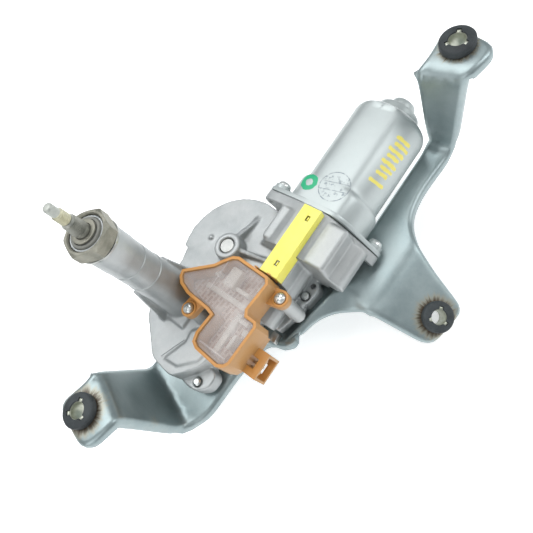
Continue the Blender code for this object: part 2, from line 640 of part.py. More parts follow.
def make_motor():
    tube("front_bearing", 3.0 + GAP, 8.3, 17.0, 23.0, MOTOR_SEAT, "brass", steps=24)
    tube("rear_bearing", 3.0 + GAP, 6.5, 149.0, 154.2, MOTOR_SEAT, "brass", steps=24)
    can = turned("motor_can", [
        (0.0, 156.4), (12.2, 156.4), (13.0, 155.6), (13.0, CAN_END), (18.8, CAN_END),
        (21.2, CAN_END - 1.0), (BODY_R, CAN_END - 3.4), (BODY_R, 98.0), (22.8, 95.5),
        (BELL_R, 93.0), (BELL_R, 80.0), (0.0, 80.0)], MOTOR_SEAT, "zinc_can", steps=40)
    flange = plate("can_flange", [seat_outline([(*MOTOR, BELL_R)] + LOBES)], JOINT_X, 83.0,
                   MOTOR_SEAT)
    join(can, flange)
    inside = BODY_R - CAN_WALL
    hollow = turned("can_hollow", [
        (0.0, 154.5), (6.8, 154.5), (6.8, CAN_END - 2.2), (17.5, CAN_END - 2.2),
        (inside, CAN_END - 4.2), (inside, JOINT_X - 1.0), (0.0, JOINT_X - 1.0)], MOTOR_SEAT,
        steps=40)
    foot = block("can_floor_cut", (JOINT_X - 1.0, -90.0, -20.0), (97.0, -62.0, GAP + 0.1))
    cut(can, hollow, foot)
    for number, (y, z, _) in enumerate(LOBES, 1):
        place = (MOTOR[1] - z, y - MOTOR[0])
        cut(can, rod("can_hole_%d" % number, 2.3, JOINT_X - 1.0, 84.0, MOTOR_SEAT, None, place, 16))
        turned("can_screw_%d" % number, [
            (0.0, 86.2), (3.2, 86.2), (4.0, 85.4), (4.0, 83.0 + GAP), (2.0, 83.0 + GAP),
            (2.0, 72.6), (0.0, 72.6)], MOTOR_SEAT, "steel", place, 16)
    turned("rear_cap", [(0.0, 163.0), (5.6, 163.0), (7.2, 161.6), (7.5, 157.0), (7.5, 156.7),
                        (0.0, 156.7)], MOTOR_SEAT, "zinc_can", steps=28)
    for name, middle in (("magnet_left", 90.0), ("magnet_right", 270.0)):
        outer = arc((0.0, 0.0), inside - GAP, middle - 62.0, middle + 62.0, 12)
        inner = arc((0.0, 0.0), 13.9, middle + 62.0, middle - 62.0, 12)
        plate(name, [outer + inner], 86.0, 134.0, MOTOR_SEAT, "ferrite")
    tube("brush_holder", 9.8, 16.1, 72.2, 76.0, MOTOR_SEAT, "board", steps=28)
    for name, sign in (("brush_left", 1.0), ("brush_right", -1.0)):
        y0, y1 = sorted((sign * 9.4, sign * 15.2))
        block(name, (-2.5, y0, 61.0), (2.5, y1, 67.5), MOTOR_SEAT, "ferrite")


# ---------------------------------------------------------------- electrical pieces

def box_outline():
    return [(5.4, -12.4), (3.0, -20.0), (2.0, -36.0), (1.0, -39.5), (-10.0, -38.5), (-15.0, -40.0),
            (-17.0, -44.0), (-18.0, -59.5), (-16.0, -63.5), (-13.0, -65.2), (8.5, -66.0),
            (11.0, -64.0), (11.2, -58.0), (13.5, -56.5), (29.5, -57.8), (32.8, -55.0),
            (34.0, -34.0), (32.5, -30.5), (27.5, -26.0), (24.0, -23.5), (12.2, -8.0), (8.7, -9.0)]


def make_connector_box():
    outline = box_outline()
    box = plate("connector_housing", [outline], *BOX_Z, None, "orange_plastic")
    shroud = block("shroud", (-13.0, -73.0, 20.0), (1.4, -60.0, 33.0))
    step = block("shroud_root", (-13.0, -64.5, 26.0), (8.0, -58.0, 34.0))
    join(box, step, shroud)
    for number, ((x, y), reach) in enumerate(zip(EAR_SCREWS, ((26.0, -55.0), (5.5, -21.0))), 1):
        ear = plate("box_ear_%d" % number, [hull([(x, y, 4.8), (*reach, 4.8)], 20)], 34.0, EAR_TOP)
        join(box, ear)
        cut(box, rod("box_ear_hole_%d" % number, 2.0, 33.0, 39.0, None, None, (x, y), 16))
    cavity = plate("box_cavity", [inset(outline, BOX_WALL)], BOX_Z[0] + 1.8, BOX_Z[1] + 1.0)
    socket = block("socket", (-11.6, -75.0, 21.6), (0.0, -64.0, 31.4))
    window = block("window", (-9.0, -69.2, 15.0), (-3.4, -64.2, 35.0))
    cut(box, cavity, socket, window)
    plate("clear_lid", [inset(outline, BOX_WALL + GAP)], 45.6, 47.2, None, "clear_plastic")
    plate("circuit_board", [inset(outline, BOX_WALL + 0.8)], 34.6, 36.2, None, "board")
    block("contact_strip_1", (12.0, -53.0, 36.5), (15.0, -20.0, 38.2), None, "brass")
    block("contact_strip_2", (-14.0, -50.0, 36.5), (10.0, -46.5, 38.2), None, "brass")
    block("noise_capacitor", (18.0, -38.0, 36.5), (29.0, -31.0, 43.0), None, "white_plastic")
    for number, x in enumerate((-9.8, -6.6, -3.4), 1):
        block("terminal_%d" % number, (x, -70.5, 25.6), (x + 1.6, -64.3, 26.6), None, "brass")
    for number, (x, y) in enumerate(EAR_SCREWS, 1):
        turned("box_screw_%d" % number, [
            (0.0, 40.4), (2.4, 40.4), (3.1, 39.6), (3.1, EAR_TOP + GAP), (1.6, EAR_TOP + GAP),
            (1.6, 25.0), (0.0, 25.0)], None, "steel", (x, y), 16)


def make_terminal_cover():
    """The yellow cover over the two bars that feed the motor."""
    cover = block("terminal_cover", (34.4, -57.2, 36.2), (76.0, -46.0, 44.0), None,
                  "yellow_plastic")
    inside = block("cover_inside", (35.8, -55.7, 30.0), (74.4, -47.5, 42.4))
    round_top = rod("cover_seat", BLOCK_R + GAP, 49.5, 80.0, MOTOR_SEAT, None, steps=48)
    lobe = block("cover_pad_clearance", (30.0, -60.0, 30.0), (52.0, -40.0, 34.9))
    cut(cover, inside, round_top, lobe)
    for number, y in enumerate((-53.6, -50.8), 1):
        block("bus_bar_%d" % number, (37.0, y, 41.6), (73.0, y + 1.2, 42.1), None, "brass")


def make_fasteners():
    head = -SHEET - GAP
    for number, (x, y, top) in enumerate(BRACKET_SCREWS, 1):
        turned("bracket_screw_%d" % number, [
            (0.0, top + 1.8), (1.6, top + 1.8), (2.4, top + 1.0), (2.4, head), (4.6, head),
            (4.6, head - 3.0), (3.8, head - 3.6), (0.0, head - 3.6)], None, "steel", (x, y), 16)
    block("bracket_clip", (8.5, -56.0, GAP), (17.0, -51.0, 5.0), None, "steel")


make_bracket()
make_seats()
make_housing()
make_covers()
make_spindle()
make_worm_wheel()
make_linkage()
make_armature()
make_motor()
make_connector_box()
make_terminal_cover()
make_fasteners()
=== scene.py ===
"""Rear window wiper motor: the looks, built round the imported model. Sizes are in millimetres."""
import math

import bmesh
import bpy
from mathutils import Matrix, Vector
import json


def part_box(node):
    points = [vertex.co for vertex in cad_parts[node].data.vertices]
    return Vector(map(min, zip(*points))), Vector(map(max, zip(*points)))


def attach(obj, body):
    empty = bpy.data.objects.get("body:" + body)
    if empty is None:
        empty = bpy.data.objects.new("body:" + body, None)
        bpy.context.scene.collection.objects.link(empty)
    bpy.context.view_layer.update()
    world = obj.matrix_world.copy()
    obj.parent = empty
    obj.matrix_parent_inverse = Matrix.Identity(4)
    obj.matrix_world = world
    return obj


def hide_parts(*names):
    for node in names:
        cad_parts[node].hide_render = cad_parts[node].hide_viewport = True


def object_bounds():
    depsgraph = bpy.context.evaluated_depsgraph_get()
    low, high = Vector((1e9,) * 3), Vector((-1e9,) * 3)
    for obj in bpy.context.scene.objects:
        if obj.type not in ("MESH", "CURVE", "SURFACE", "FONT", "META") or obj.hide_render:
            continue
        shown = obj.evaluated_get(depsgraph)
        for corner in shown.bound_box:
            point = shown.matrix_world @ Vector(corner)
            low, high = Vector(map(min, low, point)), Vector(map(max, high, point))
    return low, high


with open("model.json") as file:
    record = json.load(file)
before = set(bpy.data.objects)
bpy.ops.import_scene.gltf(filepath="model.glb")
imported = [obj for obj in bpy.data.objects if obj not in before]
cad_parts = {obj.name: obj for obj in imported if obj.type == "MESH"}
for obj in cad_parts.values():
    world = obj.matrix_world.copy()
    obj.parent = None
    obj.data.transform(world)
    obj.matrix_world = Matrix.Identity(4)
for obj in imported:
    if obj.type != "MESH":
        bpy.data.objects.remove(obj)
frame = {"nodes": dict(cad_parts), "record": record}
cad_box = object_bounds()
nodes = frame["nodes"]
MM = 0.001


# ------------------------ bracket
# The carrier is one pressing of 2 mm galvanised sheet. Its bends are generous and its outer edge is
# rolled down for stiffness. It hangs on three rubber grommets; the motor is screwed to its plate.

TAB_TOP = 65.0
EAR_SEAT = Vector((69.0, -118.0, -17.5))
EAR_TILT = math.radians(34.0)
EAR_BEND_Y = -92.0
SHEET = 2.0
ROLL = 3.0                      # radius of the rolled edge
SKIRT = 2.2                     # straight part below the roll
SEAT_HOLE_R = 7.2
SCREW_HOLE_R = 2.9


def ear_height(y):
    return EAR_SEAT.z + (y - EAR_SEAT.y) * math.tan(EAR_TILT)


def arc(x, y, radius, start, end, count):
    """Points along an arc, angles in degrees."""
    turn = [math.radians(start + (end - start) * i / count) for i in range(count + 1)]
    return [(x + radius * math.cos(a), y + radius * math.sin(a)) for a in turn]


def bracket_panels():
    """The flat faces that the sheet has before its bends are rounded."""
    left_tab = arc(-73.5, -14.0, 6.5, 100, 165, 3) + arc(-77.5, -32.5, 6.5, 175, 270, 3)
    right_tab = arc(173.5, -91.0, 6.0, 255, 350, 3) + arc(173.5, -77.0, 9.5, 10, 120, 4)
    ear = ([(51.5, -104.0)] + arc(59.5, -119.0, 6.0, 190, 270, 3)
           + arc(78.0, -121.5, 6.0, 280, 350, 3) + [(90.0, -107.0)])
    left_top = [(-52.0, -15.0, TAB_TOP), (-62.5, -42.5, TAB_TOP)]
    left_foot = [(-46.0, 6.0, 0.0), (-61.0, -38.0, 0.0)]
    right_foot = [(154.0, -64.0, 0.0), (157.0, -81.0, 0.0)]
    right_top = [(152.5, -68.0, TAB_TOP), (157.0, -93.0, TAB_TOP)]
    foot = [(8.0, -57.5, 0.0), (40.0, -65.0, 0.0), (60.0, -68.6, 0.0)]
    ridge = [(10.0, -61.0, 7.0), (41.0, -67.4, 8.5), (60.0, -71.4, 5.5)]
    fade = (71.0, -74.0, 0.0)
    low = [(9.0, -62.8, 2.5), (28.5, -69.0, 0.8), (40.0, -75.5, -0.8), (47.0, -84.0, -3.0)]
    bend = [(x, EAR_BEND_Y, ear_height(EAR_BEND_Y)) for x in (50.0, 97.5)]
    under = [(-49.0, -45.0, 0.0), (-17.0, -46.0, 0.0), (6.0, -50.0, 0.0)]
    arm = [(103.0, -85.5, 0.0), (112.0, -80.5, 0.0), (125.0, -78.5, 0.0), (141.0, -79.0, 0.0)]
    back = [(148.0, -64.0, 0.0), (76.0, -64.0, 0.0), (74.0, -60.0, 0.0), (74.0, -2.0, 0.0),
            (62.0, 10.0, 0.0), (16.0, 14.0, 0.0), (14.0, 31.0, 0.0), (-10.0, 31.0, 0.0),
            (-20.0, 14.0, 0.0)]
    return [
        [left_top[0], *[(x, y, TAB_TOP) for x, y in left_tab], left_top[1]],
        [left_foot[0], left_top[0], left_top[1], left_foot[1]],
        [left_foot[0], left_foot[1], *under, *foot, fade, bend[1], *arm, right_foot[1],
         right_foot[0], *back],
        [right_foot[0], right_foot[1], right_top[1], right_top[0]],
        [right_top[0], right_top[1], *[(x, y, TAB_TOP) for x, y in right_tab]],
        [foot[1], ridge[1], ridge[0], foot[0]],
        [foot[2], ridge[2], ridge[1], foot[1]],
        [fade, ridge[2], foot[2]],
        [ridge[0], ridge[1], low[1], low[0]],
        [ridge[1], low[1], low[2], low[3], bend[0], bend[1], fade, ridge[2]],
        [bend[0], *[(x, y, ear_height(y)) for x, y in ear], bend[1]],
    ]


def face_up(bm):
    """Make the sheet's faces agree, with its upper side outwards."""
    bmesh.ops.recalc_face_normals(bm, faces=bm.faces)
    if sum(f.normal.z * f.calc_area() for f in bm.faces) < 0.0:
        bmesh.ops.reverse_faces(bm, faces=bm.faces)


def relax(bm, verts):
    bmesh.ops.smooth_vert(bm, verts=verts, factor=0.5, use_axis_x=True, use_axis_y=True,
                          use_axis_z=True)


def even_out(bm, longest):
    """Cut a flat-panelled sheet into small triangles of even size."""
    bmesh.ops.triangulate(bm, faces=bm.faces)
    for _ in range(8):
        long_edges = [e for e in bm.edges if e.calc_length() > longest]
        if not long_edges:
            break
        bmesh.ops.subdivide_edges(bm, edges=long_edges, cuts=1)
        bmesh.ops.triangulate(bm, faces=bm.faces)


def rim_frame(bm):
    """For each vertex on the open edge: its outward direction, in the sheet."""
    outward = {}
    for edge in bm.edges:
        if not edge.is_boundary:
            continue
        face = edge.link_faces[0]
        across = (edge.verts[1].co - edge.verts[0].co).cross(face.normal).normalized()
        middle = (edge.verts[0].co + edge.verts[1].co) * 0.5
        if across.dot(middle - face.calc_center_median()) < 0.0:
            across.negate()
        for vert in edge.verts:
            outward[vert] = outward.get(vert, Vector()) + across
    return {v: d.normalized() for v, d in outward.items()}


def mesh_of(name, bm):
    mesh = bpy.data.meshes.new(name)
    bm.to_mesh(mesh)
    bm.free()
    return mesh


def put_in_scene(name, data):
    thing = bpy.data.objects.new(name, data)
    bpy.context.scene.collection.objects.link(thing)
    return thing


def keep(bm, name, finish, body, slot, *stands_for, sharp=38.0):
    """Turn a finished bmesh into a piece that rides on a body and stands for CAD nodes."""
    bmesh.ops.remove_doubles(bm, verts=bm.verts, dist=1e-4)
    bmesh.ops.scale(bm, verts=bm.verts, vec=(MM, MM, MM))
    mesh = mesh_of(name, bm)
    mesh.materials.append(finish)
    piece = put_in_scene(name, mesh)
    mesh.shade_smooth()
    mesh.set_sharp_from_angle(angle=math.radians(sharp))
    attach(piece, body)
    if stands_for:
        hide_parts(*stands_for)
    return piece


def settle(piece):
    """Apply a piece's modifiers."""
    graph = bpy.context.evaluated_depsgraph_get()
    mesh = bpy.data.meshes.new_from_object(piece.evaluated_get(graph))
    piece.modifiers.clear()
    piece.data = mesh


def carve(piece, cutter, sharp=38.0):
    """Cut a bmesh of closed shapes, which may cross each other, out of a piece."""
    bmesh.ops.scale(cutter, verts=cutter.verts, vec=(MM, MM, MM))
    bmesh.ops.recalc_face_normals(cutter, faces=cutter.faces)
    tool = put_in_scene("cutter", mesh_of("cutter", cutter))
    mod = piece.modifiers.new("carve", "BOOLEAN")
    mod.operation = "DIFFERENCE"
    mod.solver = "EXACT"
    mod.use_self = True
    mod.object = tool
    settle(piece)
    bpy.data.objects.remove(tool, do_unlink=True)
    piece.data.shade_smooth()
    piece.data.set_sharp_from_angle(angle=math.radians(sharp))


def spun(degrees):
    return Matrix.Rotation(math.radians(degrees), 3, "Z")


def add_rod(bm, centre, radius, z0, z1, turn=None, segments=32):
    """Add a closed cylinder along Z, turned by a matrix about the origin before it is placed."""
    made = bmesh.ops.create_cone(bm, cap_ends=True, segments=segments, radius1=radius,
                                 radius2=radius, depth=z1 - z0)["verts"]
    bmesh.ops.translate(bm, verts=made, vec=(0.0, 0.0, 0.5 * (z0 + z1)))
    if turn:
        bmesh.ops.rotate(bm, verts=made, cent=(0, 0, 0), matrix=turn)
    bmesh.ops.translate(bm, verts=made, vec=centre)
    return made


VECTOR, COLOUR, FLOAT = "NodeSocketVector", "NodeSocketColor", "NodeSocketFloat"


def group_of(name, inputs, outputs):
    """A shader node group with named sockets; the caller fills it in."""
    tree = bpy.data.node_groups.new(name, "ShaderNodeTree")
    for label, kind, value in inputs:
        socket = tree.interface.new_socket(label, in_out="INPUT", socket_type=kind)
        socket.default_value = value
    for label, kind in outputs:
        tree.interface.new_socket(label, in_out="OUTPUT", socket_type=kind)
    return tree, tree.nodes.new("NodeGroupInput"), tree.nodes.new("NodeGroupOutput")


def add(tree, kind, links=None, **settings):
    """Add a node; links maps its sockets to other sockets or to values."""
    node = tree.nodes.new(kind)
    for key, value in settings.items():
        setattr(node, key, value)
    for socket, source in (links or {}).items():
        if isinstance(source, bpy.types.NodeSocket):
            tree.links.new(source, node.inputs[socket])
        else:
            node.inputs[socket].default_value = source
    return node


def math_node(tree, operation, *values, clamp=False):
    return add(tree, "ShaderNodeMath", dict(enumerate(values)), operation=operation,
               use_clamp=clamp).outputs[0]


def remap(tree, value, low=0.0, high=1.0, to_low=0.0, to_high=1.0, **settings):
    """Map a value from one range to another, without leaving the second."""
    ends = {"Value": value, "From Min": low, "From Max": high, "To Min": to_low, "To Max": to_high}
    return add(tree, "ShaderNodeMapRange", ends, **settings).outputs[0]


def noise(tree, vector, scale, detail, roughness=0.5):
    return add(tree, "ShaderNodeTexNoise", {"Vector": vector, "Scale": scale, "Detail": detail,
                                            "Roughness": roughness}).outputs["Fac"]


def vector_node(tree, operation, *values):
    return add(tree, "ShaderNodeVectorMath", dict(enumerate(values)), operation=operation)


def blend_colours(tree, factor, first, second):
    mix = add(tree, "ShaderNodeMix", {0: factor, 6: first, 7: second}, data_type="RGBA")
    return mix.outputs[2]


def make_cloud_group():
    """Soft cloudy variation between two tones, with fine grain for colour and for height."""
    tree, inside, outside = group_of(
        "cloudy_tone",
        [("Vector", VECTOR, (0, 0, 0)), ("Dark", COLOUR, (0, 0, 0, 1)),
         ("Light", COLOUR, (1, 1, 1, 1)), ("Cloud Scale", FLOAT, 40.0),
         ("Grain Scale", FLOAT, 900.0), ("Grain", FLOAT, 0.3)],
        [("Color", COLOUR), ("Cloud", FLOAT), ("Fine", FLOAT)])
    vector = inside.outputs["Vector"]
    cloud = noise(tree, vector, inside.outputs["Cloud Scale"], 5.0, 0.6)
    fine = noise(tree, vector, inside.outputs["Grain Scale"], 3.0, 0.7)
    spread = remap(tree, cloud, 0.3, 0.7)
    lift = math_node(tree, "SUBTRACT", fine, 0.5)
    lift = math_node(tree, "MULTIPLY", lift, inside.outputs["Grain"])
    both = math_node(tree, "ADD", spread, lift, clamp=True)
    tone = blend_colours(tree, both, inside.outputs["Dark"], inside.outputs["Light"])
    tree.links.new(tone, outside.inputs["Color"])
    tree.links.new(spread, outside.inputs["Cloud"])
    tree.links.new(fine, outside.inputs["Fine"])
    return tree


def make_halo_group():
    """A ragged stain round a point, as rust and road dirt leave round a bolt."""
    tree, inside, outside = group_of(
        "ragged_halo",
        [("Vector", VECTOR, (0, 0, 0)), ("Centre", VECTOR, (0, 0, 0)),
         ("Inner", FLOAT, 0.008), ("Outer", FLOAT, 0.015)],
        [("Mask", FLOAT)])
    offset = vector_node(tree, "SUBTRACT", inside.outputs["Vector"],
                         inside.outputs["Centre"]).outputs[0]
    reach = vector_node(tree, "LENGTH", offset).outputs["Value"]
    spoke = vector_node(tree, "NORMALIZE", offset).outputs[0]
    ragged = noise(tree, spoke, 9.0, 5.0, 0.75)
    push = math_node(tree, "SUBTRACT", ragged, 0.5)
    push = math_node(tree, "MULTIPLY", push, 0.011)
    worn = math_node(tree, "ADD", reach, push)
    fade = remap(tree, worn, inside.outputs["Inner"], inside.outputs["Outer"], 1.0, 0.0,
                 interpolation_type="SMOOTHSTEP")
    tree.links.new(fade, outside.inputs["Mask"])
    return tree


CLOUDY = make_cloud_group()
HALO = make_halo_group()


def new_finish(name, **values):
    """A material with its Principled shader's own sockets set, and its Object coordinates."""
    finish = bpy.data.materials.new(name)
    finish.use_nodes = True
    tree = finish.node_tree
    shader = tree.nodes["Principled BSDF"]
    for key, value in values.items():
        shader.inputs[key.replace("_", " ")].default_value = value
    place = tree.nodes.new("ShaderNodeTexCoord").outputs["Object"]
    return finish, tree, shader, place


def cloudy(tree, place, dark, light, cloud, grain, amount):
    node = tree.nodes.new("ShaderNodeGroup")
    node.node_tree = CLOUDY
    tree.links.new(place, node.inputs["Vector"])
    for label, value in (("Dark", (*dark, 1.0)), ("Light", (*light, 1.0)), ("Cloud Scale", cloud),
                         ("Grain Scale", grain), ("Grain", amount)):
        node.inputs[label].default_value = value
    return node


def rough_and_bump(tree, shader, tone, low, high, strength, distance):
    """Roughness from the cloud, and a small bump from the fine grain."""
    tree.links.new(remap(tree, tone.outputs["Cloud"], 0.0, 1.0, low, high),
                   shader.inputs["Roughness"])
    bump = add(tree, "ShaderNodeBump", {"Height": tone.outputs["Fine"], "Strength": strength,
                                        "Distance": distance})
    tree.links.new(bump.outputs[0], shader.inputs["Normal"])


def plain_finish(name, tones, clouds, roughness, bump, **values):
    """One cloudy tone: dark and light; cloud, grain and its amount; two roughnesses; the bump."""
    finish, tree, shader, place = new_finish(name, **values)
    tone = cloudy(tree, place, *tones, *clouds)
    tree.links.new(tone.outputs["Color"], shader.inputs["Base Color"])
    rough_and_bump(tree, shader, tone, *roughness, *bump)
    return finish


def middle_of(node):
    low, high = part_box(node)
    return (low + high) * 0.5


def galvanised_finish():
    finish, tree, shader, place = new_finish("galvanised_sheet", Metallic=0.80)
    tone = cloudy(tree, place, (0.26, 0.325, 0.335), (0.38, 0.445, 0.45), 45.0, 700.0, 0.35)
    colour = tone.outputs["Color"]
    seats = [middle_of("collar_" + side) for side in ("left", "right", "ear")]
    stains = [(seats[0], 0.0075, 0.0140), (seats[1], 0.0065, 0.0110), (seats[2], 0.0080, 0.0140),
              (Vector((-0.0555, -0.0405, 0.030)), 0.001, 0.008)]
    rust = None
    for centre, inner, outer in stains:
        halo = tree.nodes.new("ShaderNodeGroup")
        halo.node_tree = HALO
        tree.links.new(place, halo.inputs["Vector"])
        for label, value in (("Centre", centre), ("Inner", inner), ("Outer", outer)):
            halo.inputs[label].default_value = value
        mask = halo.outputs["Mask"]
        rust = mask if rust is None else math_node(tree, "MAXIMUM", rust, mask)
    colour = blend_colours(tree, remap(tree, rust, 0.0, 0.45), colour, (0.36, 0.36, 0.30, 1.0))
    colour = blend_colours(tree, remap(tree, rust, 0.45, 1.0), colour, (0.085, 0.062, 0.038, 1.0))
    tree.links.new(colour, shader.inputs["Base Color"])
    tree.links.new(remap(tree, rust, 0.0, 1.0, 0.80, 0.1), shader.inputs["Metallic"])
    rough_and_bump(tree, shader, tone, 0.34, 0.46, 0.12, 0.0002)
    return finish


def make_bracket():
    bm = bmesh.new()
    known = {}
    for points in bracket_panels():
        for point in points:
            if point not in known:
                known[point] = bm.verts.new(point)
        bm.faces.new([known[p] for p in points])
    face_up(bm)
    even_out(bm, 4.5)
    bm.normal_update()
    outward = rim_frame(bm)
    for vert, way in outward.items():
        vert.co -= way * ROLL
    inner = [v for v in bm.verts if v not in outward]
    rim_edges = [e for e in bm.edges if e.is_boundary]
    neighbours = {v: [e.other_vert(v) for e in v.link_edges if e.is_boundary] for v in outward}
    for step in range(12):
        relax(bm, inner)
        if step % 3:
            continue
        moved = {v: v.co * 0.6 + (a.co + b.co) * 0.2 for v, (a, b) in neighbours.items()}
        for vert, place in moved.items():
            vert.co = place
    bm.normal_update()
    outward = rim_frame(bm)
    start = {v: (v.co.copy(), way, v.normal.copy()) for v, way in outward.items()}
    rows = [math.pi / 2 * k / 5 for k in range(1, 6)]
    edges = rim_edges
    source = {v: v for v in outward}
    for row in [*rows, None]:
        made = bmesh.ops.extrude_edge_only(bm, edges=edges)["geom"]
        fresh = [v for v in made if isinstance(v, bmesh.types.BMVert)]
        edges = [e for e in made if isinstance(e, bmesh.types.BMEdge) and e.is_boundary]
        linked = {}
        for vert in fresh:
            ends = [e.other_vert(vert) for e in vert.link_edges]
            older = next(v for v in ends if v in source)
            linked[vert] = source[older]
        for vert, root in linked.items():
            place, way, normal = start[root]
            angle = math.pi / 2 if row is None else row
            drop = SKIRT if row is None else 0.0
            down = ROLL * (1 - math.cos(angle)) + drop
            vert.co = place + way * (ROLL * math.sin(angle)) - normal * down
        source = linked
    face_up(bm)
    piece = keep(bm, "pressed_bracket", galvanised_finish(), "frame", "zinc_sheet", "bracket",
                 sharp=60.0)
    sheet = piece.modifiers.new("sheet", "SOLIDIFY")
    sheet.thickness = SHEET * MM
    sheet.offset = -1.0
    settle(piece)
    holes = bmesh.new()
    for name in ("left", "right", "ear"):
        turn = Matrix.Rotation(EAR_TILT, 3, "X") if name == "ear" else None
        add_rod(holes, middle_of("collar_" + name) / MM, SEAT_HOLE_R, -9.0, 9.0, turn)
    for number in (1, 2, 3):
        middle = middle_of("bracket_screw_%d" % number) / MM
        add_rod(holes, (middle.x, middle.y, 0.0), SCREW_HOLE_R, -9.0, 9.0)
    carve(piece, holes, sharp=60.0)


make_bracket()


# ------------------------ grommets and collars
# Each bolt hole holds a grooved grommet of black rubber, dusty with age, and in it a zinc plated
# collar. Three lugs at the collar's head sit in notches of the rubber and keep it from turning.

SEATS = {"left": (Vector((-71.1, -23.1, TAB_TOP)), None),
         "right": (Vector((172.2, -79.8, TAB_TOP)), None),
         "ear": (EAR_SEAT, Matrix.Rotation(EAR_TILT, 3, "X"))}


def lathe(bm, profile, segments=48, closed=True, centre=(0.0, 0.0, 0.0), turn=None):
    """Spin a profile of (radius, z) about Z into a closed shape, then turn and place it."""
    verts = [bm.verts.new((r, 0.0, z)) for r, z in profile]
    edges = [bm.edges.new(pair) for pair in zip(verts, verts[1:])]
    if closed:
        edges.append(bm.edges.new((verts[-1], verts[0])))
    old = set(bm.faces)
    bmesh.ops.spin(bm, geom=verts + edges, cent=(0, 0, 0), axis=(0, 0, 1), angle=2 * math.pi,
                   steps=segments, use_merge=True)
    faces = [f for f in bm.faces if f not in old]
    made = list({v for f in faces for v in f.verts})
    bmesh.ops.remove_doubles(bm, verts=made, dist=1e-4)
    faces = [f for f in bm.faces if f not in old]
    bmesh.ops.recalc_face_normals(bm, faces=faces)
    made = list({v for f in faces for v in f.verts})
    if turn:
        bmesh.ops.rotate(bm, verts=made, cent=(0, 0, 0), matrix=turn)
    bmesh.ops.translate(bm, verts=made, vec=centre)
    return made


def turned_piece(name, profile, segments, finish, body, slot, *stands_for, sharp=38.0, **spin):
    """A piece that is one turned profile; spin goes to lathe."""
    bm = bmesh.new()
    lathe(bm, profile, segments, **spin)
    return keep(bm, name, finish, body, slot, *stands_for, sharp=sharp)


def pour(part, bm, turn=None, centre=(0.0, 0.0, 0.0)):
    """Turn and place a finished part, and add it to the piece being built."""
    if turn:
        bmesh.ops.rotate(part, verts=part.verts, cent=(0, 0, 0), matrix=turn)
    bmesh.ops.translate(part, verts=part.verts, vec=centre)
    mesh = mesh_of("part", part)
    bm.from_mesh(mesh)
    bpy.data.meshes.remove(mesh)


def round_edges(part, edges, size, segments=2):
    bmesh.ops.bevel(part, geom=edges, offset=size, segments=segments, affect="EDGES", profile=0.5,
                    material=-1, clamp_overlap=True)


def add_block(bm, low, high, edge=0.0, turn=None, centre=(0.0, 0.0, 0.0), segments=2):
    part = bmesh.new()
    bmesh.ops.create_cube(part, size=1.0)
    low, high = Vector(low), Vector(high)
    bmesh.ops.scale(part, verts=part.verts, vec=high - low)
    bmesh.ops.translate(part, verts=part.verts, vec=(low + high) * 0.5)
    if edge:
        round_edges(part, part.edges[:], edge, segments)
    pour(part, bm, turn, centre)


RUBBER = plain_finish(
    "grommet_rubber", ((0.022, 0.027, 0.030), (0.060, 0.070, 0.074)), (120.0, 1600.0, 0.55),
    (0.50, 0.72), (0.35, 0.0003), Specular_IOR_Level=0.35)
COLLAR_ZINC = plain_finish(
    "yellow_zinc_collar", ((0.36, 0.38, 0.30), (0.60, 0.62, 0.54)), (260.0, 1500.0, 0.5),
    (0.30, 0.48), (0.25, 0.0002), Metallic=0.75)
for side, (seat, tilt) in SEATS.items():
    rubber = turned_piece(
        "rubber_grommet_" + side,
        [(5.2, 4.1), (4.3, 4.1), (4.3, 4.6), (4.7, 4.9), (7.6, 4.7), (8.4, 4.35), (8.75, 3.8),
         (8.8, 3.2), (8.7, 0.9), (8.3, 0.3), (6.9, 0.3), (6.9, -2.3), (7.6, -2.35), (8.1, -2.7),
         (8.2, -3.4), (8.0, -4.7), (7.4, -5.25), (5.6, -5.3), (5.2, -5.0)],
        64, RUBBER, "frame", "rubber", "grommet_" + side, centre=seat, turn=tilt)
    notches, bm = bmesh.new(), bmesh.new()
    lathe(bm, [(4.0, 3.8), (4.15, 4.05), (4.7, 4.05), (4.85, 3.8), (4.85, -5.3), (4.6, -5.6),
               (4.15, -5.6), (4.0, -5.4)], 48, centre=seat, turn=tilt)
    for third in range(3):
        lug_turn = spun(120 * third + 20)
        lug_turn = tilt @ lug_turn if tilt else lug_turn
        add_block(bm, (4.3, -1.0, 3.2), (5.7, 1.0, 4.45), 0.3, lug_turn, seat)
        add_block(notches, (3.5, -1.2, 4.0), (5.9, 1.2, 6.0), 0.0, lug_turn, seat)
    carve(rubber, notches)
    keep(bm, "zinc_collar_" + side, COLLAR_ZINC, "frame", "collar_zinc", "collar_" + side)


# ------------------------ gear housing
# An aluminium pressure die casting: the gear case with its fan-shaped end, the pivot tube, the
# brush chamber and the screw lugs are one piece. Corners are soft and the skin is slightly mottled.

def casting_finish():
    finish, tree, shader, place = new_finish("die_cast_aluminium", Metallic=0.62)
    tone = cloudy(tree, place, (0.37, 0.395, 0.40), (0.53, 0.55, 0.55), 55.0, 1100.0, 0.35)
    stain = remap(tree, noise(tree, place, 18.0, 3.0), 0.52, 0.75, 0.0, 0.35)
    colour = blend_colours(tree, stain, tone.outputs["Color"], (0.36, 0.36, 0.35, 1.0))
    tree.links.new(colour, shader.inputs["Base Color"])
    rough_and_bump(tree, shader, tone, 0.40, 0.54, 0.30, 0.0003)
    return finish


CASTING = casting_finish()
TUBE_R = 10.4


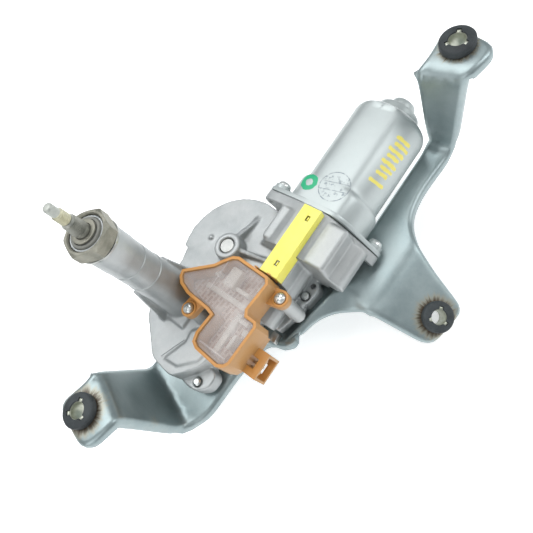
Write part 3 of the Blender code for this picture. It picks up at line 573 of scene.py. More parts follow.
def add_slab(bm, outline, z0, z1, edge):
    """A flat outline given thickness, with its rims rounded."""
    part = bmesh.new()
    face = part.faces.new([part.verts.new((x, y, z0)) for x, y in outline])
    part.normal_update()
    if face.normal.z > 0.0:
        face.normal_flip()
    raised = bmesh.ops.extrude_face_region(part, geom=[face])["geom"]
    top = [v for v in raised if isinstance(v, bmesh.types.BMVert)]
    bmesh.ops.translate(part, verts=top, vec=(0.0, 0.0, z1 - z0))
    bmesh.ops.recalc_face_normals(part, faces=part.faces)
    rims = [e for e in part.edges if abs(e.verts[0].co.z - e.verts[1].co.z) < 1e-6]
    round_edges(part, rims, edge)
    pour(part, bm)


def cad_mesh(node):
    """The mesh of a CAD node, in millimetres and without double vertices."""
    bm = bmesh.new()
    bm.from_mesh(nodes[node].data)
    bmesh.ops.scale(bm, verts=bm.verts, vec=(1 / MM, 1 / MM, 1 / MM))
    bmesh.ops.remove_doubles(bm, verts=bm.verts, dist=1e-3)
    return bm


def soft_cast(name, bm, voxel, passes, share, finish, body, slot, *stands_for):
    """Melt overlapping solids into one skin with small fillets, as a casting has."""
    piece = keep(bm, name, finish, body, slot, *stands_for)
    melt = piece.modifiers.new("melt", "REMESH")
    melt.mode = "VOXEL"
    melt.voxel_size = voxel * MM
    settle(piece)
    soft = bmesh.new()
    soft.from_mesh(piece.data)
    for _ in range(passes):
        relax(soft, soft.verts)
    soft.to_mesh(piece.data)
    soft.free()
    thin = piece.modifiers.new("thin", "DECIMATE")
    thin.ratio = share
    settle(piece)
    piece.data.shade_smooth()
    piece.data.set_sharp_from_angle(angle=math.radians(55.0))
    return piece


def make_casting():
    bm = cad_mesh("gear_housing")
    # low pad on the left lobe, and a small nub beside the pin boss
    add_slab(bm, [(-34.0, -14.0), (-33.0, -24.0), (-24.0, -33.5), (-11.0, -36.0), (-9.5, -22.0),
                  (-13.0, -18.4), (-19.3, -19.7)], 21.0, 23.1, 0.5)
    add_block(bm, (37.1, 7.2, 21.0), (39.7, 9.8, 24.2), 0.8)
    # buttress round the foot of the pivot tube
    add_slab(bm, [(-15.0, -13.0), (13.0, -14.0), (15.0, 10.0), (-15.0, 12.0)], 20.5, 24.0, 1.2)
    # brush chamber: the square shoulders either side of the terminal cover
    add_block(bm, (51.0, -45.7, 20.0), (75.5, -30.0, 38.0), 2.0, segments=3)
    add_block(bm, (50.0, -72.5, 9.5), (75.5, -57.6, 37.0), 2.0, segments=3)
    # low web beside the worm tunnel, below the connector box
    add_slab(bm, [(14.5, -57.6), (24.0, -60.6), (33.0, -62.3), (36.0, -58.0), (33.0, -44.0),
                  (14.5, -44.0)], 3.5, 10.5, 0.8)
    piece = soft_cast("cast_gear_housing", bm, 0.6, 3, 0.22, CASTING, "frame", "cast_alloy",
                      "gear_housing")
    grooves = bmesh.new()
    add_block(grooves, (-8.2, -0.35, 21.8), (8.2, 0.35, 24.0), 0.0,
              spun(-24.0), (-26.8, -14.6, 0.0))
    add_rod(grooves, (45.5, -60.2, 0.0), 1.7, 6.0, 14.0)
    carve(piece, grooves, sharp=55.0)


def make_pivot_sleeve():
    """The turned length of the pivot tube, with its step and two fine grooves."""
    turned_piece(
        "pivot_tube_sleeve",
        [(8.4, 107.9), (9.1, 107.9), (9.25, 107.6), (9.25, 99.1), (TUBE_R + 0.15, 99.0),
         (TUBE_R + 0.32, 98.7), (TUBE_R + 0.32, 85.3), (TUBE_R + 0.2, 84.9), (TUBE_R + 0.1, 84.7),
         (TUBE_R + 0.12, 77.9), (TUBE_R - 0.25, 77.5), (TUBE_R - 0.25, 77.0), (TUBE_R + 0.12, 76.6),
         (TUBE_R + 0.15, 63.2), (TUBE_R + 0.5, 62.8), (TUBE_R + 0.5, 62.5), (TUBE_R + 0.36, 62.1),
         (TUBE_R + 0.65, 54.0), (8.4, 54.0)],
        96, CASTING, "frame", "cast_alloy", sharp=30.0)


make_casting()
make_pivot_sleeve()


# ------------------------ spindle, nut and washer
# The spindle is turned steel: a knurled taper for the wiper arm, a thread and a plain tip.
# The big hexagon nut and washer clamp the pivot tube through the glass; they are dull with weather.

def steel_finish(name, dark, light, metal, low, high, cloud=160.0):
    return plain_finish(name, (dark, light), (cloud, 1800.0, 0.5), (low, high), (0.25, 0.0002),
                        Metallic=metal)


SHAFT_STEEL = steel_finish("spindle_steel", (0.26, 0.27, 0.24), (0.46, 0.46, 0.42), 0.8, 0.32, 0.5)
THREAD_ZINC = steel_finish("thread_yellow_zinc", (0.52, 0.50, 0.34), (0.76, 0.74, 0.58), 0.7, 0.28,
                           0.42)
NUT_STEEL = steel_finish("weathered_nut", (0.19, 0.19, 0.155), (0.40, 0.39, 0.33), 0.65, 0.42, 0.6)
TIP_STEEL = steel_finish("pale_spindle_tip", (0.36, 0.38, 0.35), (0.58, 0.60, 0.56), 0.5, 0.4, 0.6)
DUSTY_SEAL = steel_finish("dusty_seal", (0.16, 0.165, 0.15), (0.30, 0.30, 0.27), 0.0, 0.70, 0.90)
PLAIN_STEEL = steel_finish("plain_steel", (0.36, 0.37, 0.36), (0.54, 0.55, 0.53), 0.9, 0.28, 0.40)
SCREW_ZINC = steel_finish("zinc_screw", (0.55, 0.58, 0.57), (0.78, 0.80, 0.79), 0.85, 0.22, 0.36)


def make_spindle():
    bm = bmesh.new()
    taper = bmesh.ops.create_cone(bm, cap_ends=True, segments=80, radius1=4.3, radius2=3.75,
                                  depth=7.0)["verts"]
    ring = sorted(taper, key=lambda v: (v.co.z, math.atan2(v.co.y, v.co.x)))
    for number, vert in enumerate(ring):
        scale = 1.0 if number % 2 else 0.90
        vert.co.x *= scale
        vert.co.y *= scale
    bmesh.ops.translate(bm, verts=taper, vec=(0.0, 0.0, 116.2))
    lathe(bm, [(0.0, 120.9), (3.0, 120.9), (3.5, 119.6), (0.0, 119.6)], 40, closed=False)
    lathe(bm, [(0.0, 112.8), (4.0, 112.8), (4.0, 3.4), (0.0, 3.4)], 40, closed=False)
    keep(bm, "knurled_spindle", SHAFT_STEEL, "output", "shaft_steel", "output_shaft", sharp=30.0)
    pitch, crest, root = 1.0, 3.0, 2.42
    profile = [(0.0, 127.3), (root, 127.3)]
    for turn in range(6):
        z = 126.8 - pitch * turn
        profile += [(root, z + 0.12), (crest, z - 0.32), (crest, z - 0.52), (root, z - 0.9)]
    profile += [(2.5, 120.6), (0.0, 120.6)]
    turned_piece("spindle_thread", profile, 40, THREAD_ZINC, "output", "shaft_steel", sharp=30.0,
                 closed=False)
    turned_piece("spindle_dog_point",
                 [(0.0, 132.8), (1.4, 132.8), (2.05, 132.5), (2.38, 131.8), (2.4, 127.1),
                  (0.0, 127.1)], 40, TIP_STEEL, "output", "shaft_steel", sharp=40.0, closed=False)


NUT_TURN = math.radians(12.0)
NUT_FLAT = 11.3                 # half the distance across the flats


def make_nut():
    """A hexagon whose corners are cut back by a cone, top and bottom."""
    bm = bmesh.new()
    segments = 96
    chamfer = math.tan(math.radians(32.0))
    shoulder = NUT_FLAT * 0.985

    def corner_radius(angle):
        side = (angle - NUT_TURN + math.pi / 6) % (math.pi / 3) - math.pi / 6
        return NUT_FLAT / math.cos(math.pi / 6 - abs(side))

    def ring(radius_of, z_of):
        angles = [2 * math.pi * i / segments for i in range(segments)]
        return [bm.verts.new((radius_of(a) * math.cos(a), radius_of(a) * math.sin(a), z_of(a)))
                for a in angles]

    low, high = 101.0, 109.0

    def drop(angle):
        return max(0.0, corner_radius(angle) - shoulder) * chamfer

    rows = [ring(lambda a: 9.5, lambda a: low), ring(lambda a: shoulder, lambda a: low),
            ring(corner_radius, lambda a: low + drop(a)),
            ring(corner_radius, lambda a: high - drop(a)),
            ring(lambda a: shoulder, lambda a: high), ring(lambda a: 10.1, lambda a: high),
            ring(lambda a: 9.5, lambda a: high - 0.6)]
    for below, above in zip(rows, rows[1:] + rows[:1]):
        for i in range(segments):
            j = (i + 1) % segments
            bm.faces.new((below[i], below[j], above[j], above[i]))
    bmesh.ops.recalc_face_normals(bm, faces=bm.faces)
    keep(bm, "chamfered_pivot_nut", NUT_STEEL, "frame", "old_steel", "pivot_nut", sharp=22.0)
    turned_piece("broad_washer",
                 [(9.6, 100.6), (9.7, 100.7), (11.5, 100.7), (11.7, 100.5), (11.7, 99.4),
                  (11.5, 99.2), (9.6, 99.2)],
                 72, PLAIN_STEEL, "frame", "shaft_steel", "pivot_washer")
    turned_piece("lipped_shaft_seal",
                 [(4.4, 105.6), (4.4, 109.0), (5.0, 109.2), (5.4, 108.3), (6.4, 108.2),
                  (6.8, 109.0), (7.8, 109.0), (8.1, 108.6), (8.1, 105.6)],
                 64, DUSTY_SEAL, "frame", "rubber", "shaft_seal")
    turned_piece("spindle_circlip",
                 [(4.35, 109.5), (4.35, 110.3), (5.9, 110.35), (6.4, 110.1), (6.4, 109.5)],
                 56, NUT_STEEL, "output", "shaft_steel", "shaft_circlip")


make_spindle()
make_nut()


# ------------------------ motor can
# The can is deep-drawn steel, zinc plated: a bell with a flange, a barrel with flattened top and
# bottom, and a stepped end. The rear cap closes the bearing seat. Two screws hold the flange.

MOTOR_Y, MOTOR_Z = -47.5, 18.5
BARREL_R = 22.0
MARKED_ABOVE = 0.024            # metres; paint and ink lie on the upper side only
ALONG_X = Matrix.Rotation(math.radians(90.0), 3, "Y")


def crayon_group():
    """One soft-edged stroke between two points."""
    tree, inside, outside = group_of(
        "crayon_stroke",
        [("Vector", VECTOR, (0, 0, 0)), ("From", VECTOR, (0, 0, 0)),
         ("To", VECTOR, (0, 0, 0)), ("Width", FLOAT, 0.001)],
        [("Mask", FLOAT)])
    out = vector_node(tree, "SUBTRACT", inside.outputs["Vector"], inside.outputs["From"]).outputs[0]
    run = vector_node(tree, "SUBTRACT", inside.outputs["To"], inside.outputs["From"]).outputs[0]
    share = math_node(tree, "DIVIDE", vector_node(tree, "DOT_PRODUCT", out, run).outputs["Value"],
                      vector_node(tree, "DOT_PRODUCT", run, run).outputs["Value"], clamp=True)
    scaled = vector_node(tree, "SCALE", run)
    tree.links.new(share, scaled.inputs["Scale"])
    away = vector_node(tree, "SUBTRACT", out, scaled.outputs[0]).outputs[0]
    gap = vector_node(tree, "LENGTH", away).outputs["Value"]
    tree.links.new(remap(tree, gap, inside.outputs["Width"], 0.0, 0.0, 3.0), outside.inputs["Mask"])
    return tree


def band(tree, value, middle, half, soft):
    """1 where value lies within half of middle, falling to 0 over soft."""
    off = math_node(tree, "ABSOLUTE", math_node(tree, "SUBTRACT", value, middle))
    return remap(tree, off, half, half + soft, 1.0, 0.0)


def can_finish(marked):
    name = "marked_zinc_can" if marked else "bright_zinc"
    finish, tree, shader, place = new_finish(name, Metallic=0.55)
    tone = cloudy(tree, place, (0.42, 0.465, 0.465), (0.52, 0.565, 0.56), 24.0, 800.0, 0.2)
    colour = tone.outputs["Color"]

    def calc(operation, *values):
        return math_node(tree, operation, *values)

    if marked:
        x, y, z = add(tree, "ShaderNodeSeparateXYZ", {0: place}).outputs
        upper = calc("GREATER_THAN", z, MARKED_ABOVE)
        wobble = noise(tree, place, 420.0, 3.0)
        shake = calc("MULTIPLY", calc("SUBTRACT", wobble, 0.5), 0.0016)

        def reach(cx, cy):
            flat = add(tree, "ShaderNodeCombineXYZ",
                       {0: calc("SUBTRACT", x, cx), 1: calc("SUBTRACT", y, cy)})
            return vector_node(tree, "LENGTH", flat.outputs[0]).outputs["Value"]

        # a dab of green inspection paint
        ring = band(tree, calc("ADD", reach(0.0899, -0.0365), shake), 0.0036, 0.0013, 0.0003)
        # a rubbed ink stamp: a thin circle, two bars across it and smudges, without any writing
        stamp = reach(0.0931, -0.0513)
        ink = band(tree, stamp, 0.0087, 0.00014, 0.00025)
        inside_stamp = calc("LESS_THAN", stamp, 0.0085)
        slant = calc("ADD", calc("MULTIPLY", x, 0.979), calc("MULTIPLY", y, 0.205))
        slant = calc("SUBTRACT", slant, 0.0931 * 0.979 - 0.0513 * 0.205)
        for offset in (-0.0024, 0.0024):
            bar = band(tree, slant, offset, 0.00012, 0.00025)
            ink = calc("MAXIMUM", ink, calc("MULTIPLY", bar, inside_stamp))
        smudge = remap(tree, noise(tree, place, 560.0, 1.0), 0.56, 0.60)
        rows = calc("MULTIPLY", band(tree, slant, 0.0, 0.0062, 0.0006), inside_stamp)
        smudge = calc("MULTIPLY", smudge, rows)
        ink = calc("MAXIMUM", ink, calc("MULTIPLY", smudge, 0.7))
        faded = calc("MULTIPLY", ink, remap(tree, wobble, 0.35, 0.6))
        ink = calc("MULTIPLY", faded, 0.75)
        # grease-pencil dashes on the barrel's shoulder, laid out along x and round the barrel
        out_y = calc("SUBTRACT", y, MOTOR_Y * MM)
        out_z = calc("SUBTRACT", z, MOTOR_Z * MM)
        turn = calc("ARCTAN2", out_y, out_z)
        around = calc("MULTIPLY", turn, BARREL_R * MM)
        wrap = add(tree, "ShaderNodeCombineXYZ", {0: calc("ADD", x, shake), 1: around})
        marks = None
        for start, end in CRAYON_MARKS:
            stroke = tree.nodes.new("ShaderNodeGroup")
            stroke.node_tree = CRAYON
            tree.links.new(wrap.outputs[0], stroke.inputs["Vector"])
            stroke.inputs["From"].default_value = (start[0] * MM, start[1] * MM, 0.0)
            stroke.inputs["To"].default_value = (end[0] * MM, end[1] * MM, 0.0)
            stroke.inputs["Width"].default_value = 0.0013
            mask = stroke.outputs["Mask"]
            marks = mask if marks is None else calc("MAXIMUM", marks, mask)
        marks = calc("MINIMUM", marks, 0.92)
        ring = calc("MULTIPLY", ring, upper)
        ink = calc("MULTIPLY", ink, upper)
        colour = blend_colours(tree, ink, colour, (0.10, 0.13, 0.17, 1.0))
        colour = blend_colours(tree, ring, colour, (0.02, 0.42, 0.20, 1.0))
        colour = blend_colours(tree, marks, colour, (0.86, 0.74, 0.12, 1.0))
        paint = calc("MAXIMUM", ring, calc("MAXIMUM", marks, ink))
        tree.links.new(remap(tree, paint, 0.0, 1.0, 0.55, 0.0), shader.inputs["Metallic"])
    tree.links.new(colour, shader.inputs["Base Color"])
    rough_and_bump(tree, shader, tone, 0.38, 0.48, 0.10, 0.0002)
    return finish


CRAYON_MARKS = [((107.0, -18.5), (108.0, -27.5)), ((112.5, -19.5), (113.5, -26.0)),
                ((116.0, -20.0), (117.0, -27.5)), ((119.5, -18.5), (120.5, -28.0)),
                ((123.5, -19.5), (124.5, -26.5)), ((127.0, -18.0), (128.0, -28.0)),
                ((131.0, -19.5), (132.0, -28.5)), ((134.5, -18.5), (135.5, -27.0))]
CRAYON = crayon_group()
CAN_ZINC = can_finish(True)
BRIGHT_ZINC = can_finish(False)


def flatten(verts, flat, soft, centre_z):
    """Press the top and bottom of a round section to a flat, with a soft shoulder."""
    for vert in verts:
        up = vert.co.z - centre_z
        over = abs(up) - (flat - soft)
        if over > 0.0:
            pressed = flat - soft + soft * math.tanh(over / soft)
            vert.co.z = centre_z + math.copysign(pressed, up)


def make_can():
    bm = bmesh.new()
    barrel = [(20.4, 78.2), (24.0, 78.2), (24.2, 79.5), (24.4, 91.6), (24.0, 93.4), (23.1, 94.7),
              (22.4, 95.5), (22.1, 96.6), (22.0, 99.0), (22.0, 143.8), (21.7, 145.9), (20.9, 147.6),
              (19.6, 148.7), (18.2, 149.0), (14.0, 149.0), (13.3, 149.4), (13.0, 150.2),
              (13.0, 154.8), (12.7, 155.8), (12.0, 156.4), (9.0, 156.4), (8.2, 156.0), (7.6, 155.9)]
    inner = [(7.6, 154.6), (6.8, 154.4), (6.8, 147.0), (17.0, 146.6), (20.2, 144.6)]
    made = lathe(bm, barrel + inner, 96, centre=(0.0, MOTOR_Y, MOTOR_Z), turn=ALONG_X)
    reach = {v: math.hypot(v.co.y - MOTOR_Y, v.co.z - MOTOR_Z) for v in made}
    flatten([v for v in made if reach[v] > 21.0 and v.co.x < 148.0], 19.7, 3.0, MOTOR_Z)
    flatten([v for v in made if 20.0 < reach[v] < 20.5], 18.2, 3.0, MOTOR_Z)
    keep(bm, "drawn_motor_can", CAN_ZINC, "frame", "zinc_can", "motor_can", sharp=40.0)


make_can()


def add_hull(bm, circles, z0, z1, edge, turn, centre, count):
    """A plate drawn tight round several circles of (x, y, radius)."""
    part = bmesh.new()
    for x, y, radius in circles:
        for z in (z0, z1):
            made = bmesh.ops.create_circle(part, segments=count, radius=radius)["verts"]
            bmesh.ops.translate(part, verts=made, vec=(x, y, z))
    made = bmesh.ops.convex_hull(part, input=part.verts[:])
    spare = [g for g in made["geom_interior"] + made["geom_unused"]
             if isinstance(g, bmesh.types.BMVert)]
    bmesh.ops.delete(part, geom=spare, context="VERTS")
    bmesh.ops.dissolve_limit(part, angle_limit=0.01, verts=part.verts, edges=part.edges)
    bmesh.ops.recalc_face_normals(part, faces=part.faces)
    rims = [e for e in part.edges if abs(e.verts[0].co.z - e.verts[1].co.z) < 1e-4]
    round_edges(part, rims, edge)
    pour(part, bm, turn, centre)


def add_cross(cuts, arm, slot, low, high, angle, centre, turn=None):
    """The two crossed bars that are later cut in a screw's head."""
    for quarter in (0.0, 90.0):
        way = spun(quarter + angle)
        add_block(cuts, (-arm, -slot, low), (arm, slot, high), 0.0, turn @ way if turn else way,
                  centre)


def add_screw(bm, cuts, centre, head_r, head_h, shank_r, length, turn=None):
    """A pan-head screw, head up at the origin, and the cross that is later cut in its head."""
    profile = [(0.0, head_h), (head_r * 0.45, head_h * 0.97), (head_r * 0.8, head_h * 0.78),
               (head_r * 0.97, head_h * 0.42), (head_r, 0.12), (head_r * 0.98, 0.0),
               (shank_r, -0.02), (shank_r, -length), (0.0, -length)]
    lathe(bm, profile, 40, closed=False, centre=centre, turn=turn)
    add_cross(cuts, head_r * 0.62, head_r * 0.15, head_h * 0.45, head_h + 1.0, 25.0, centre, turn)


LOBE_SCREWS = [(-12.5, 27.5), (12.5, -27.5)]    # in the flange's own plane: down, and across
LOBE_R = 5.6


def make_flange():
    bm = bmesh.new()
    add_hull(bm, [(0.0, 0.0, 24.4)] + [(x, y, LOBE_R) for x, y in LOBE_SCREWS], 78.0, 80.6, 0.5,
             ALONG_X, (0.0, MOTOR_Y, MOTOR_Z), 48)
    flatten(bm.verts, 20.2, 3.0, MOTOR_Z)
    for x, y in LOBE_SCREWS:
        add_rod(bm, (0.0, MOTOR_Y + y, MOTOR_Z - x), LOBE_R - 0.8, 78.2, 83.0, ALONG_X, 40)
    piece = keep(bm, "can_flange", CAN_ZINC, "frame", "zinc_can", sharp=35.0)
    below = bmesh.new()
    add_rod(below, (0.0, MOTOR_Y, MOTOR_Z), 17.8, 77.0, 84.0, ALONG_X, 64)
    for x, y in LOBE_SCREWS:
        add_rod(below, (0.0, MOTOR_Y + y, MOTOR_Z - x), 2.3, 77.0, 84.0, ALONG_X, 24)
    carve(piece, below, sharp=35.0)
    low = bmesh.new()
    add_block(low, (77.0, -95.0, -20.0), (84.0, -61.5, 0.4))
    carve(piece, low, sharp=35.0)

    bm, cuts = bmesh.new(), bmesh.new()
    for x, y in LOBE_SCREWS:
        add_screw(bm, cuts, (83.3, MOTOR_Y + y, MOTOR_Z - x), 4.0, 2.9, 2.0, 10.7, ALONG_X)
    pieces = keep(bm, "can_screws", SCREW_ZINC, "frame", "screw_zinc", "can_screw_1", "can_screw_2")
    carve(pieces, cuts)

    turned_piece("domed_rear_cap",
                 [(0.0, 163.0), (5.2, 163.0), (6.4, 162.6), (7.0, 161.8), (7.3, 160.0),
                  (7.4, 157.6), (7.5, 156.7), (0.0, 156.7)], 56, BRIGHT_ZINC, "frame", "zinc_can",
                 "rear_cap", closed=False, centre=(0.0, MOTOR_Y, MOTOR_Z), turn=ALONG_X)


make_flange()


# ------------------------ connector box
# A moulded tray of filled nylon carries the circuit board, with the plug socket hanging below its
# front edge. A milky snap-in lid closes it, and two cross-head screws fix its ears to the casting.

def softened(node, name, finish, edge, body, slot, extra=None):
    """A copy of a CAD node with its hard edges broken by a small bevel."""
    bm = cad_mesh(node)
    bmesh.ops.dissolve_limit(bm, angle_limit=math.radians(1.0), verts=bm.verts, edges=bm.edges)
    hard = [e for e in bm.edges if e.is_manifold and e.calc_face_angle(0.0) > math.radians(40.0)]
    round_edges(bm, hard, edge)
    if extra:
        extra(bm)
    return keep(bm, name, finish, body, slot, node, sharp=30.0)


def moulded_finish(name, dark, light, low, high, **values):
    return plain_finish(name, (dark, light), (45.0, 2200.0, 0.25), (low, high), (0.18, 0.0002),
                        **values)


def box_finish():
    """Orange nylon with a fine grain, and painted shade: paler and duller on its upright sides than
    on its level faces.
    """
    finish, tree, shader, place = new_finish("orange_nylon", Specular_IOR_Level=0.45)
    tone = cloudy(tree, place, (0.52, 0.235, 0.055), (0.66, 0.315, 0.085), 45.0, 2200.0, 0.25)
    face = add(tree, "ShaderNodeNewGeometry")
    up = add(tree, "ShaderNodeSeparateXYZ", {0: face.outputs["Normal"]}).outputs[2]
    # painted shade: faces that stand upright get a duller, browner orange than level faces, chosen
    # from the face's normal
    side = remap(tree, math_node(tree, "ABSOLUTE", up), 0.2, 0.85, 0.75, 0.0)
    colour = blend_colours(tree, side, tone.outputs["Color"], (0.46, 0.27, 0.115, 1.0))
    tree.links.new(colour, shader.inputs["Base Color"])
    rough_and_bump(tree, shader, tone, 0.34, 0.48, 0.18, 0.0002)
    return finish


def lid_finish():
    """Milky clear plastic: pale, slightly pink, and cloudy enough to blur what lies under it."""
    finish, tree, shader, place = new_finish("milky_lid", Roughness=0.24, Alpha=0.4,
                                             Specular_IOR_Level=0.5)
    tone = cloudy(tree, place, (0.56, 0.50, 0.48), (0.76, 0.72, 0.70), 60.0, 500.0, 0.1)
    tree.links.new(tone.outputs["Color"], shader.inputs["Base Color"])
    tree.links.new(remap(tree, tone.outputs["Cloud"], 0.0, 1.0, 0.22, 0.38),
                   shader.inputs["Alpha"])
    return finish


def board_finish():
    """A phenolic board: brown, with paler printed tracks crossing it."""
    finish, tree, shader, place = new_finish("printed_board", Roughness=0.5)
    turned = add(tree, "ShaderNodeMapping", {"Vector": place, "Rotation": (0, 0, 0.12)})
    tracks = add(tree, "ShaderNodeTexBrick", {"Vector": turned.outputs[0], "Scale": 95.0,
                                              "Mortar Size": 0.06, "Color1": (0.30, 0.17, 0.12, 1),
                                              "Color2": (0.42, 0.26, 0.19, 1),
                                              "Mortar": (0.62, 0.50, 0.42, 1)})
    tree.links.new(tracks.outputs["Color"], shader.inputs["Base Color"])
    return finish


ORANGE = box_finish()
LID = lid_finish()
BOARD = board_finish()
WHITE = moulded_finish("white_moulding", (0.66, 0.65, 0.60), (0.80, 0.79, 0.74), 0.35, 0.5)
BRASS = steel_finish("tinned_brass", (0.55, 0.48, 0.34), (0.78, 0.72, 0.58), 0.9, 0.25, 0.38)
EAR_SCREWS = [(27.5, -62.5), (-3.0, -19.5)]
EAR_TOP = 38.0


def make_box():
    def collars(bm):
        for x, y in EAR_SCREWS:
            lathe(bm, [(3.3, EAR_TOP - 0.4), (3.3, EAR_TOP + 0.35), (3.6, EAR_TOP + 0.6),
                       (4.3, EAR_TOP + 0.6), (4.7, EAR_TOP + 0.2), (4.7, EAR_TOP - 0.4)], 40,
                  centre=(x, y, 0.0))
        for y in (-44.0, -52.5):
            add_block(bm, (34.0, y - 1.2, 33.0), (34.8, y + 1.2, 45.0), 0.3)

    softened("connector_housing", "orange_connector_box", ORANGE, 0.35, "frame", "orange_plastic",
             collars)

    def lid_ribs(bm):
        add_block(bm, (-13.0, -61.5, 47.0), (-11.8, -43.0, 47.5), 0.15)
        add_block(bm, (8.0, -30.0, 47.0), (31.0, -29.3, 47.45), 0.15)

    softened("clear_lid", "milky_snap_lid", LID, 0.3, "frame", "clear_lid", lid_ribs)

    bm = bmesh.new()
    for low, high in (((12.0, -53.0), (15.0, -20.0)), ((-14.0, -50.0), (10.0, -46.5))):
        add_block(bm, (*low, 36.5), (*high, 38.2), 0.25)
    for x, y, w, d, h in ((18.5, -48.5, 2.2, 9.0, 5.5), (24.0, -53.0, 6.0, 2.2, 5.0),
                          (20.0, -25.5, 3.0, 3.0, 5.0), (-8.0, -57.0, 8.0, 2.0, 6.5),
                          (6.0, -58.5, 2.2, 8.0, 6.5), (1.5, -61.0, 3.2, 3.2, 6.0)):
        add_block(bm, (x, y, 36.4), (x + w, y + d, 36.4 + h), 0.3)
    keep(bm, "white_contacts", WHITE, "frame", "brass", "contact_strip_1", "contact_strip_2")
    softened("noise_capacitor", "block_capacitor", WHITE, 0.8, "frame", "white_plastic")
    bm, cuts = bmesh.new(), bmesh.new()
    for x, y in EAR_SCREWS:
        add_screw(bm, cuts, (x, y, EAR_TOP + 0.3), 3.1, 2.1, 1.6, 13.2)
    screws = keep(bm, "box_screws", SCREW_ZINC, "frame", "screw_zinc", "box_screw_1", "box_screw_2")
    carve(screws, cuts)


make_box()


# ------------------------ terminal cover
# A bright yellow snap-on moulding covers the two bars between the box and the brushes. A small
# window near each end shows the weld of the bar below.

YELLOW = moulded_finish("yellow_moulding", (0.88, 0.80, 0.10), (0.95, 0.90, 0.20), 0.30, 0.42,
                        Specular_IOR_Level=0.5)


def make_terminal_cover():
    cover = softened("terminal_cover", "yellow_terminal_cover", YELLOW, 0.45, "frame",
                     "yellow_plastic")
    windows = bmesh.new()
    for x in (41.5, 69.5):
        add_block(windows, (x - 1.6, -53.6, 40.0), (x + 1.6, -50.9, 46.0))
    carve(cover, windows, sharp=30.0)
    bm = bmesh.new()
    for x in (41.5, 69.5):
        add_block(bm, (x - 1.0, -52.9, 42.2), (x + 1.0, -52.1, 43.6), 0.2)
    for low, high in (((38.6, -51.6), (44.4, -51.0)), ((66.6, -51.6), (72.4, -51.0))):
        add_block(bm, (*low, 43.9), (*high, 44.12), 0.08)
    keep(bm, "cover_window_tabs", YELLOW, "frame", "yellow_plastic")


make_terminal_cover()


# ------------------------ bracket screws and small parts
# Three screws come up through the bracket into the casting's lugs, and their tips show above them.
# Everything else is inside the case or the can; those nodes keep their shapes and get their finish.

def make_bracket_screws():
    bm, cuts = bmesh.new(), bmesh.new()
    for number in (1, 2, 3):
        low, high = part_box("bracket_screw_%d" % number)
        x, y = (low.x + high.x) * 0.5 / MM, (low.y + high.y) * 0.5 / MM
        tip = high.z / MM
        lathe(bm, [(0.0, tip), (1.5, tip - 0.1), (2.3, tip - 0.9), (2.4, 2.0), (2.4, -2.3),
                   (5.0, -2.3), (5.1, -3.1), (4.2, -3.2), (4.0, -5.4), (3.4, -5.9), (0.0, -5.9)],
              36, closed=False, centre=(x, y, 0.0))
        add_cross(cuts, 2.4, 0.5, -7.0, -4.6, 10.0, (x, y, 0.0))
    screws = keep(bm, "bracket_screws", SCREW_ZINC, "frame", "screw_zinc", "bracket_screw_1",
                  "bracket_screw_2", "bracket_screw_3")
    carve(screws, cuts)
    bm = bmesh.new()
    add_block(bm, (7.5, -57.0, 0.3), (13.5, -52.5, 5.6), 0.6)
    keep(bm, "sheet_clip", PLAIN_STEEL, "frame", "screw_zinc", "bracket_clip")


make_bracket_screws()

FERRITE = moulded_finish("ferrite", (0.030, 0.030, 0.032), (0.060, 0.060, 0.062), 0.5, 0.7)
COPPER = steel_finish("enamelled_copper", (0.45, 0.17, 0.07), (0.66, 0.30, 0.15), 0.9, 0.28, 0.42)
SHEET_ZINC = steel_finish("plain_zinc_sheet", (0.34, 0.40, 0.41), (0.46, 0.52, 0.53), 0.85, 0.32,
                          0.45, 40.0)
FINISH_OF_SLOT = {
    "zinc_sheet": SHEET_ZINC, "zinc_can": BRIGHT_ZINC, "cast_alloy": CASTING, "rubber": RUBBER,
    "shaft_steel": PLAIN_STEEL, "collar_zinc": COLLAR_ZINC, "screw_zinc": SCREW_ZINC,
    "old_steel": NUT_STEEL, "brass": BRASS, "copper": COPPER, "orange_plastic": ORANGE,
    "yellow_plastic": YELLOW, "clear_lid": LID, "white_plastic": WHITE, "board": BOARD,
    "ferrite": FERRITE}
for entry in frame["record"]["subparts"]:
    mesh = nodes[entry["node"]].data
    mesh.materials.clear()
    mesh.materials.append(FINISH_OF_SLOT[entry["material_slot"]])


# ------------------------ floor, light and camera
# A seamless white table, a broad soft light above, one at each side, and white surroundings that
# are darker low down, so that bright metal has something to reflect.

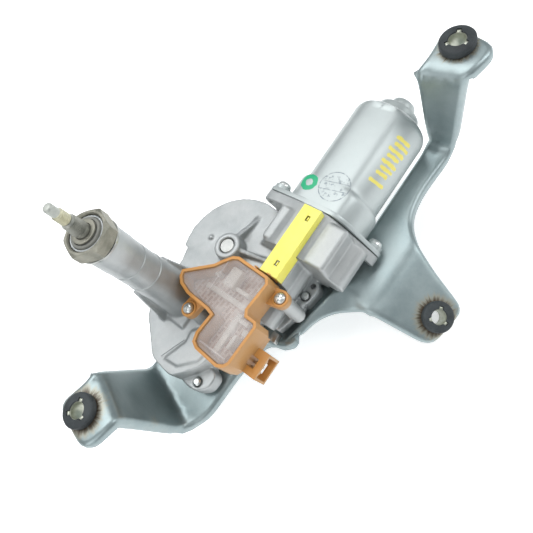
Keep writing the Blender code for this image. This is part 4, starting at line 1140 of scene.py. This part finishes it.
def make_floor():
    bm = bmesh.new()
    bmesh.ops.create_grid(bm, x_segments=1, y_segments=1, size=3.0)
    low = cad_box[0][2] - 0.002
    bmesh.ops.translate(bm, verts=bm.verts, vec=(0.05, -0.05, low))
    mesh = mesh_of("floor", bm)
    floor = put_in_scene("floor", mesh)
    finish, _, shader, _ = new_finish("white_table", Roughness=0.9, Specular_IOR_Level=0.1,
                                     Emission_Strength=0.50)
    shader.inputs["Base Color"].default_value = (0.93, 0.935, 0.94, 1.0)
    shader.inputs["Emission Color"].default_value = (1.0, 1.0, 1.0, 1.0)
    mesh.materials.append(finish)


def add_light(name, place, aim, size, power):
    light = bpy.data.lights.new(name, "AREA")
    light.shape = "RECTANGLE"
    light.size, light.size_y = size
    light.energy = power
    lamp = put_in_scene(name, light)
    lamp.location = place
    lamp.rotation_euler = (Vector(aim) - Vector(place)).to_track_quat("-Z", "Y").to_euler()


def make_surroundings():
    world = bpy.data.worlds.new("studio")
    bpy.context.scene.world = world
    world.use_nodes = True
    tree = world.node_tree
    way = add(tree, "ShaderNodeSeparateXYZ", {0: tree.nodes.new("ShaderNodeTexCoord").outputs[
        "Generated"]})
    rise = remap(tree, way.outputs[2], -0.1, 0.75)
    tone = blend_colours(tree, rise, (0.30, 0.33, 0.35, 1.0), (0.92, 0.95, 0.97, 1.0))
    tree.links.new(tone, tree.nodes["Background"].inputs["Color"])
    tree.nodes["Background"].inputs["Strength"].default_value = 0.55


make_floor()
make_surroundings()
add_light("overhead", (0.10, 0.25, 0.75), (0.05, -0.05, 0.0), (0.9, 0.5), 4.2)
add_light("left_panel", (-0.65, -0.25, 0.40), (0.05, -0.05, 0.02), (0.5, 0.6), 1.6)
add_light("right_panel", (0.55, -0.55, 0.50), (0.07, -0.06, 0.02), (0.25, 0.6), 2.0)

RIGHT, UP = Vector((0.565, -0.731, -0.383)), Vector((0.817, 0.431, 0.382))
camera_data = bpy.data.cameras.new("camera")
camera_data.sensor_width = 36.0
camera_data.lens = 36.4053
camera_data.clip_start = 0.01
camera = put_in_scene("camera", camera_data)
RIGHT.normalize()
UP = (UP - RIGHT * UP.dot(RIGHT)).normalized()
axes = Matrix((RIGHT, UP, RIGHT.cross(UP))).transposed()
camera.matrix_world = Matrix.Translation((0.0059, -0.1939, 0.2750)) @ axes.to_4x4()
bpy.context.scene.camera = camera
bpy.context.scene.view_settings.view_transform = "Standard"
